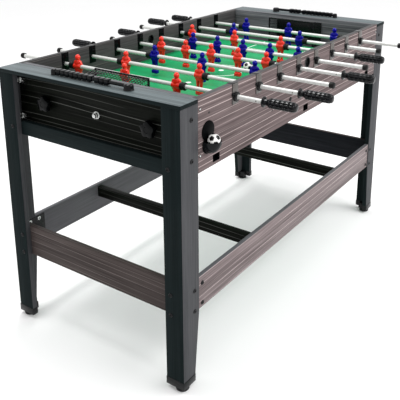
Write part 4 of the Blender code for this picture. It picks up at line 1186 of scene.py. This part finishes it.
def player_shape():
    """One moulded player about the rod's axis, smoothed into a single skin."""
    bm = bmesh.new()

    def limb(*sections):
        """A tapering limb of (x, y, z, width, depth) ovals, bridged and closed at its ends."""
        loops = []
        for index, (*place, width, depth) in enumerate(sections):
            oval = Matrix.Translation(place) @ Matrix.Diagonal((depth / 2, width / 2, 1, 1))
            ring = bmesh.ops.create_circle(bm, cap_ends=index in (0, len(sections) - 1),
                                           segments=12, radius=1, matrix=oval)["verts"]
            loops.append({edge for vert in ring for edge in vert.link_edges})
        for low, high in zip(loops, loops[1:]):
            bmesh.ops.bridge_loops(bm, edges=list(low | high))

    foot_top = -FOOT_REACH + FOOT_HEIGHT
    add_block(bm, (-FOOT_DEPTH / 2, -FOOT_WIDTH / 2, -FOOT_REACH),
              (FOOT_DEPTH / 2, FOOT_WIDTH / 2, foot_top), 0.0022, 3)
    for side in (-1, 1):
        y = side * LEG_SPREAD
        limb((0, y * 0.90, foot_top - 0.002, 0.0084, 0.0092),
             (0, y * 0.90, foot_top + 0.010, 0.0076, 0.0084),
             (0.0006, y, LEG_TOP - 0.006, 0.0100, 0.0112),
             (0, y, LEG_TOP + 0.004, 0.0104, 0.0118))
        limb((0.0006, side * 0.0112, -0.0130, 0.0058, 0.0076),
             (0.0010, side * 0.0124, -0.0030, 0.0064, 0.0086),
             (0, side * 0.0118, 0.0080, 0.0070, 0.0092),
             (0, side * 0.0094, 0.0152, 0.0064, 0.0082))
    limb((0, 0, -0.0150, 0.0180, 0.0122), (0, 0, -0.0080, 0.0186, 0.0136),
         (0, 0, 0.0010, 0.0196, 0.0146), (0, 0, 0.0110, 0.0232, 0.0142),
         (0, 0, 0.0165, 0.0190, 0.0118), (0, 0, 0.0190, 0.0100, 0.0088))
    limb((0, 0, 0.0165, 0.0076, 0.0076), (0, 0, 0.0240, 0.0070, 0.0070))
    head = (Matrix.Translation((0, 0, HEAD_REACH - HEAD_RADIUS * 1.12))
            @ Matrix.Diagonal((1.0, 0.96, 1.12, 1)))
    bmesh.ops.create_uvsphere(bm, u_segments=24, v_segments=16, radius=HEAD_RADIUS, matrix=head)
    add_pin(bm, (0, 0, 0), ACROSS, HUB_OF_PLAYER, PLAYER_WIDTH - 0.0015, 28)
    bmesh.ops.recalc_face_normals(bm, faces=list(bm.faces))
    shape = put("player", as_mesh(bm))
    skin = shape.modifiers.new("skin", "REMESH")
    skin.mode = "VOXEL"
    skin.voxel_size = PLAYER_GRAIN
    ease = shape.modifiers.new("ease", "SMOOTH")
    ease.factor = 0.5
    ease.iterations = 2
    return as_mesh(evaluated_shape(shape))


def grip_start():
    """How far the grip's flange is from the middle of the rod's own length."""
    return abs(outer("rod_1_handle", -facing(1), 1) - rod_shift(1))


def grip_shape():
    """A fluted grip from its flange outwards along +Z, with its bore for the rod."""
    low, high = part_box("rod_1_handle")
    length = high.y - low.y
    r = GRIP_RADIUS
    shares = ((0.00, 0.56), (0.00, 0.98), (0.008, 1.06), (0.028, 1.06), (0.040, 0.96),
              (0.048, 0.64), (0.130, 0.60), (0.165, 0.72), (0.205, 0.94), (0.250, 1.00),
              (0.420, 0.98), (0.560, 0.97), (0.700, 0.99), (0.800, 1.00), (0.880, 0.98),
              (0.930, 0.92), (0.970, 0.80), (0.992, 0.60), (1.000, 0.35), (1.000, 0.0))
    profile = []
    for (along, radius), (next_along, next_radius) in zip(shares, shares[1:]):
        parts = max(1, round((next_along - along) * length / GRIP_STEP))
        profile += [(r * (radius + (next_radius - radius) * part / parts),
                     length * (along + (next_along - along) * part / parts))
                    for part in range(parts)]
    bore = ROD_RADIUS + SEAT
    depth = ROD_HANDLE_END - (grip_start() - SEAT)
    profile = [(0, depth), (bore, depth), (bore, 0)] + profile[1:] + [(0, length)]
    start, stop = GRIP_FLUTED
    bm = bmesh.new()
    for vert in add_turned(bm, profile, steps=96):
        radius = math.hypot(vert.co.x, vert.co.y)
        share = vert.co.z / length
        if radius > r * 0.7 and start < share < stop:
            angle = math.atan2(vert.co.y, vert.co.x)
            flute = max(0.0, math.cos(GRIP_FLUTES * angle)) ** GRIP_FLUTE_SHARPNESS
            ring = max(0.0, math.cos(math.tau * vert.co.z / GRIP_RING_PITCH))
            sink = max(GRIP_FLUTE_DEPTH * flute, GRIP_RING_DEPTH * ring ** GRIP_RING_SHARPNESS)
            blend = min(1.0, (share - start) / GRIP_FADE, (stop - share) / GRIP_FADE)
            scale = 1 - sink * blend / radius
            vert.co.x *= scale
            vert.co.y *= scale
    return as_mesh(bm)


PLAYER = player_shape()
GRIP = grip_shape()


def bumper_profile(start, stop):
    groove = (start + stop) / 2
    r = BUMPER_RADIUS
    return rounded([(ROD_RADIUS, stop), (r, stop), (r, groove + 0.0016),
                    (r - BUMPER_GROOVE, groove + 0.0010), (r - BUMPER_GROOVE, groove - 0.0010),
                    (r, groove - 0.0016), (r, start), (ROD_RADIUS, start)], 0.0009)


def dress_rod(rod):
    """Tube, rubbers, players, grip and the turning bush of one rod."""
    team, players = TEAMS[rod - 1]
    side = facing(rod)
    body = f"rod_{rod}"
    centre = Vector((rod_x(rod), rod_shift(rod), rod_z))
    direction = ACROSS * side
    place = frame_along(centre, direction)
    cap = CAP_LENGTH - ROD_TIP_END
    tip = -ROD_TIP_END
    tube = [(0, ROD_HANDLE_END), (ROD_RADIUS, ROD_HANDLE_END), (ROD_RADIUS, cap - 0.002),
            (0, cap - 0.002)]
    add_piece(f"{body}_tube", turned(tube, place, 32), [white_steel], body,
              f"{body}_with_players")

    r = CAP_RADIUS
    rubbers = turned([(ROD_RADIUS, cap), (r * 0.94, cap), (r, cap - 0.001), (r, tip + 0.004),
                      (r * 0.90, tip + 0.0016), (r * 0.66, tip + 0.0003), (0, tip),
                      (0, tip + 0.001)], place, 36)
    spacing = SPACINGS[players]
    outermost = spacing * (players - 1) / 2
    start = outermost + PLAYER_WIDTH / 2 - 0.0006
    stop = outermost + PLAYER_WIDTH / 2 + BUMPER_LENGTH
    for span in ((start, stop), (-stop, -start)):
        add_turned(rubbers, bumper_profile(*span), place, 36)
    add_piece(f"{body}_rubbers", rubbers, [bumper_rubber], body)

    men = bmesh.new()
    turn = Matrix.Rotation(0 if team == "red" else math.pi, 4, "Z")
    for player in range(players):
        stand = centre + ACROSS * (player * spacing - outermost)
        join(men, PLAYER, Matrix.Translation(stand) @ turn)
    add_piece(f"{body}_{team}_players", men, [team_plastic[team]], body,
              smooth=80)

    grip = bmesh.new()
    join(grip, GRIP, frame_along(centre + direction * grip_start(), direction))
    add_piece(f"{body}_grip", grip, [grip_rubber], body, f"{body}_handle", 50)
    pin = bmesh.new()
    add_pin(pin, centre + direction * (grip_start() - PIN_FROM_GRIP), AWAY, PIN_RADIUS,
            2 * ROD_RADIUS + 0.0006, 20)
    add_piece(f"{body}_pin", pin, [bolt_steel], body)

    plate = outer_y + EAR_PROUD + SEAT
    inner = inner_y - SADDLE_PROUD
    flange = plate + SLEEVE_FLANGE
    bore = ROD_RADIUS + SLEEVE_PLAY
    r = SLEEVE_FLANGE_RADIUS
    bush = [(bore, flange), (r * 0.72, flange), (r * 0.76, flange - 0.0006),
            (r * 0.90, flange - 0.0008), (r, flange - 0.0016), (r, plate),
            (SLEEVE_RADIUS, plate), (SLEEVE_RADIUS, inner), (bore, inner)]
    add_piece(f"{body}_bush", turned(bush, frame_along((centre.x, 0, rod_z), direction)),
              [black_plastic], f"{body}_bearing", node=f"{body}_sleeve")


# Fasteners and brackets of the stand

def add_bolts(bm, places, direction):
    """Flat bolt heads with a round socket."""
    r = BOLT_RADIUS
    profile = [(0, BOLT_HEAD * 0.3), (r * 0.45, BOLT_HEAD * 0.3), (r * 0.45, BOLT_HEAD),
               (r * 0.80, BOLT_HEAD), (r, BOLT_HEAD * 0.45), (r, -0.0002), (0, -0.0002)]
    for place in places:
        add_turned(bm, profile, frame_along(place, direction), 24)


def add_stand_fasteners(end, side, end_name, side_name):
    corner = f"{end_name}_{side_name}"
    leg = f"leg_{corner}"
    stretcher = f"long_stretcher_{side_name}"
    outwards, endwards = ACROSS * side, AWAY * end
    side_face = outer(leg, side, 1) - side * BOLT_SINK
    end_face = outer(leg, end, 0) - end * BOLT_SINK
    stretcher_face = outer(stretcher, side, 1)
    bm = bmesh.new()
    add_bolts(bm, [(end * x, side_face, z) for x, z in LEG_BOLTS], outwards)
    add_bolts(bm, [(end * x, stretcher_face, z) for x, z in STRETCHER_BOLTS], outwards)
    add_bolts(bm, [(end_face, side * y, z) for y, z in END_BOLTS], endwards)
    add_piece(f"leg_bolts_{corner}", bm, [bolt_steel], "stand")

    bm = bmesh.new()
    panel = outer(f"end_panel_{end_name}", end, 0)
    inner = side * (abs(side_face) - WALL - SEAT)
    for z in BRACKETS:
        low, high = z - BRACKET_HALF, z + BRACKET_HALF
        add_block(bm, (panel, inner - side * BRACKET_PLAY, low),
                  (panel + end * PLATE, inner - side * BRACKET_REACH, high), BRACKET_EDGE)
        add_block(bm, (panel, inner, low),
                  (panel + end * BRACKET_REACH, inner - side * PLATE, high), BRACKET_EDGE)
        add_screw(bm, frame_along((panel + end * PLATE, inner - side * BRACKET_SCREW, z),
                                  endwards))
    add_piece(f"panel_brackets_{corner}", bm, [zinc], "stand")

    plates, washers = bmesh.new(), bmesh.new()
    inner = outer(stretcher, -side, 1)
    edge = outer(f"end_stretcher_{end_name}", -end, 0)
    top = outer(stretcher, 1, 2)
    add_block(plates, (edge - end * SEAT, inner, top - PLATE_HEIGHT),
              (edge - end * PLATE_LENGTH, inner - side * PLATE, top - PLATE_TOP_DROP), 0.0005)
    washer = [(0.0026, 0.0016), (0.0050, 0.0014), (0.0058, 0.0006), (0.0058, 0), (0.0026, 0)]
    for share in PLATE_SCREWS:
        place = frame_along((edge - end * share * PLATE_LENGTH, inner - side * PLATE,
                             top - PLATE_HEIGHT * PLATE_SCREW_DROP), -outwards)
        add_turned(washers, washer, place, 28)
        add_screw(plates, place, PLATE_SCREW_RADIUS / SCREW_RADIUS,
                  PLATE_SCREW_HEAD / SCREW_HEAD)
    add_piece(f"corner_plate_{corner}", plates, [black_plastic], "stand")
    add_piece(f"corner_plate_screws_{corner}", washers, [zinc], "stand")


# Studio

def add_floor():
    bm = bmesh.new()
    bmesh.ops.create_grid(bm, x_segments=1, y_segments=1, size=20)
    floor = put("floor", as_mesh(bm, "floor"))
    floor.data.materials.append(floor_finish())


def add_lamp(name, place, target, size, power):
    lamp = bpy.data.lights.new(name, "AREA")
    lamp.energy = power
    lamp.shape = "RECTANGLE"
    lamp.size, lamp.size_y = size
    holder = put(name, lamp)
    holder.location = place
    holder.rotation_mode = "QUATERNION"
    holder.rotation_quaternion = (Vector(target) - Vector(place)).to_track_quat("-Z", "Y")


def add_studio():
    """A white room, a broad lamp at the front and a narrow one above."""
    world = bpy.data.worlds.new("studio")
    world.use_nodes = True
    backdrop = world.node_tree.nodes["Background"].inputs
    backdrop["Color"].default_value = (1.0, 1.0, 1.0, 1)
    backdrop["Strength"].default_value = 1.0
    bpy.context.scene.world = world
    bpy.context.scene.view_settings.view_transform = "Standard"
    middle = (0, 0, 0.5)
    add_lamp("key", (0.6, -2.6, 2.6), middle, (2.4, 1.6), 70)
    add_lamp("top", (-0.1, 0.7, 3.0), middle, (2.0, 0.4), 45)


def add_camera():
    lens = bpy.data.cameras.new("camera")
    lens.sensor_width = SENSOR_MM
    lens.lens = FOCAL_PIXELS * SENSOR_MM / PHOTO_PIXELS
    lens.shift_x = -SHIFT_PIXELS[0] / PHOTO_PIXELS
    lens.shift_y = SHIFT_PIXELS[1] / PHOTO_PIXELS
    camera = put("camera", lens)
    camera.location = CAMERA_PLACE
    camera.rotation_euler = (math.pi / 2 - CAMERA_ELEVATION, 0, CAMERA_AZIMUTH)
    bpy.context.scene.camera = camera


def dress_table():
    dress_stand()
    dress_field()
    for end, end_name in ENDS.items():
        dress_score_beads(end, end_name)
        dress_end_wall(end, end_name)
        dress_goal(end, end_name)
        for side, side_name in SIDES.items():
            dress_knob(end, f"{end_name}_{side_name}")
            dress_leveler(f"{end_name}_{side_name}")
            add_stand_fasteners(end, side, end_name, side_name)
    for side, side_name in SIDES.items():
        dress_long_wall(side, side_name)
        dress_ball_return(side, side_name)
    for rod in RODS:
        dress_rod(rod)
    add_ball("ball_on_field", (*BALL_ON_FIELD, field_top + BALL_RADIUS + LINE_RISE),
             BALL_ON_FIELD_TURN)
    add_ball("ball_in_cup", (-RETURN_PLACE, -(outer_y + BALL_IN_CUP[0]), BALL_IN_CUP[1]),
             BALL_IN_CUP_TURN)


add_floor()
add_studio()
add_camera()
dress_table()
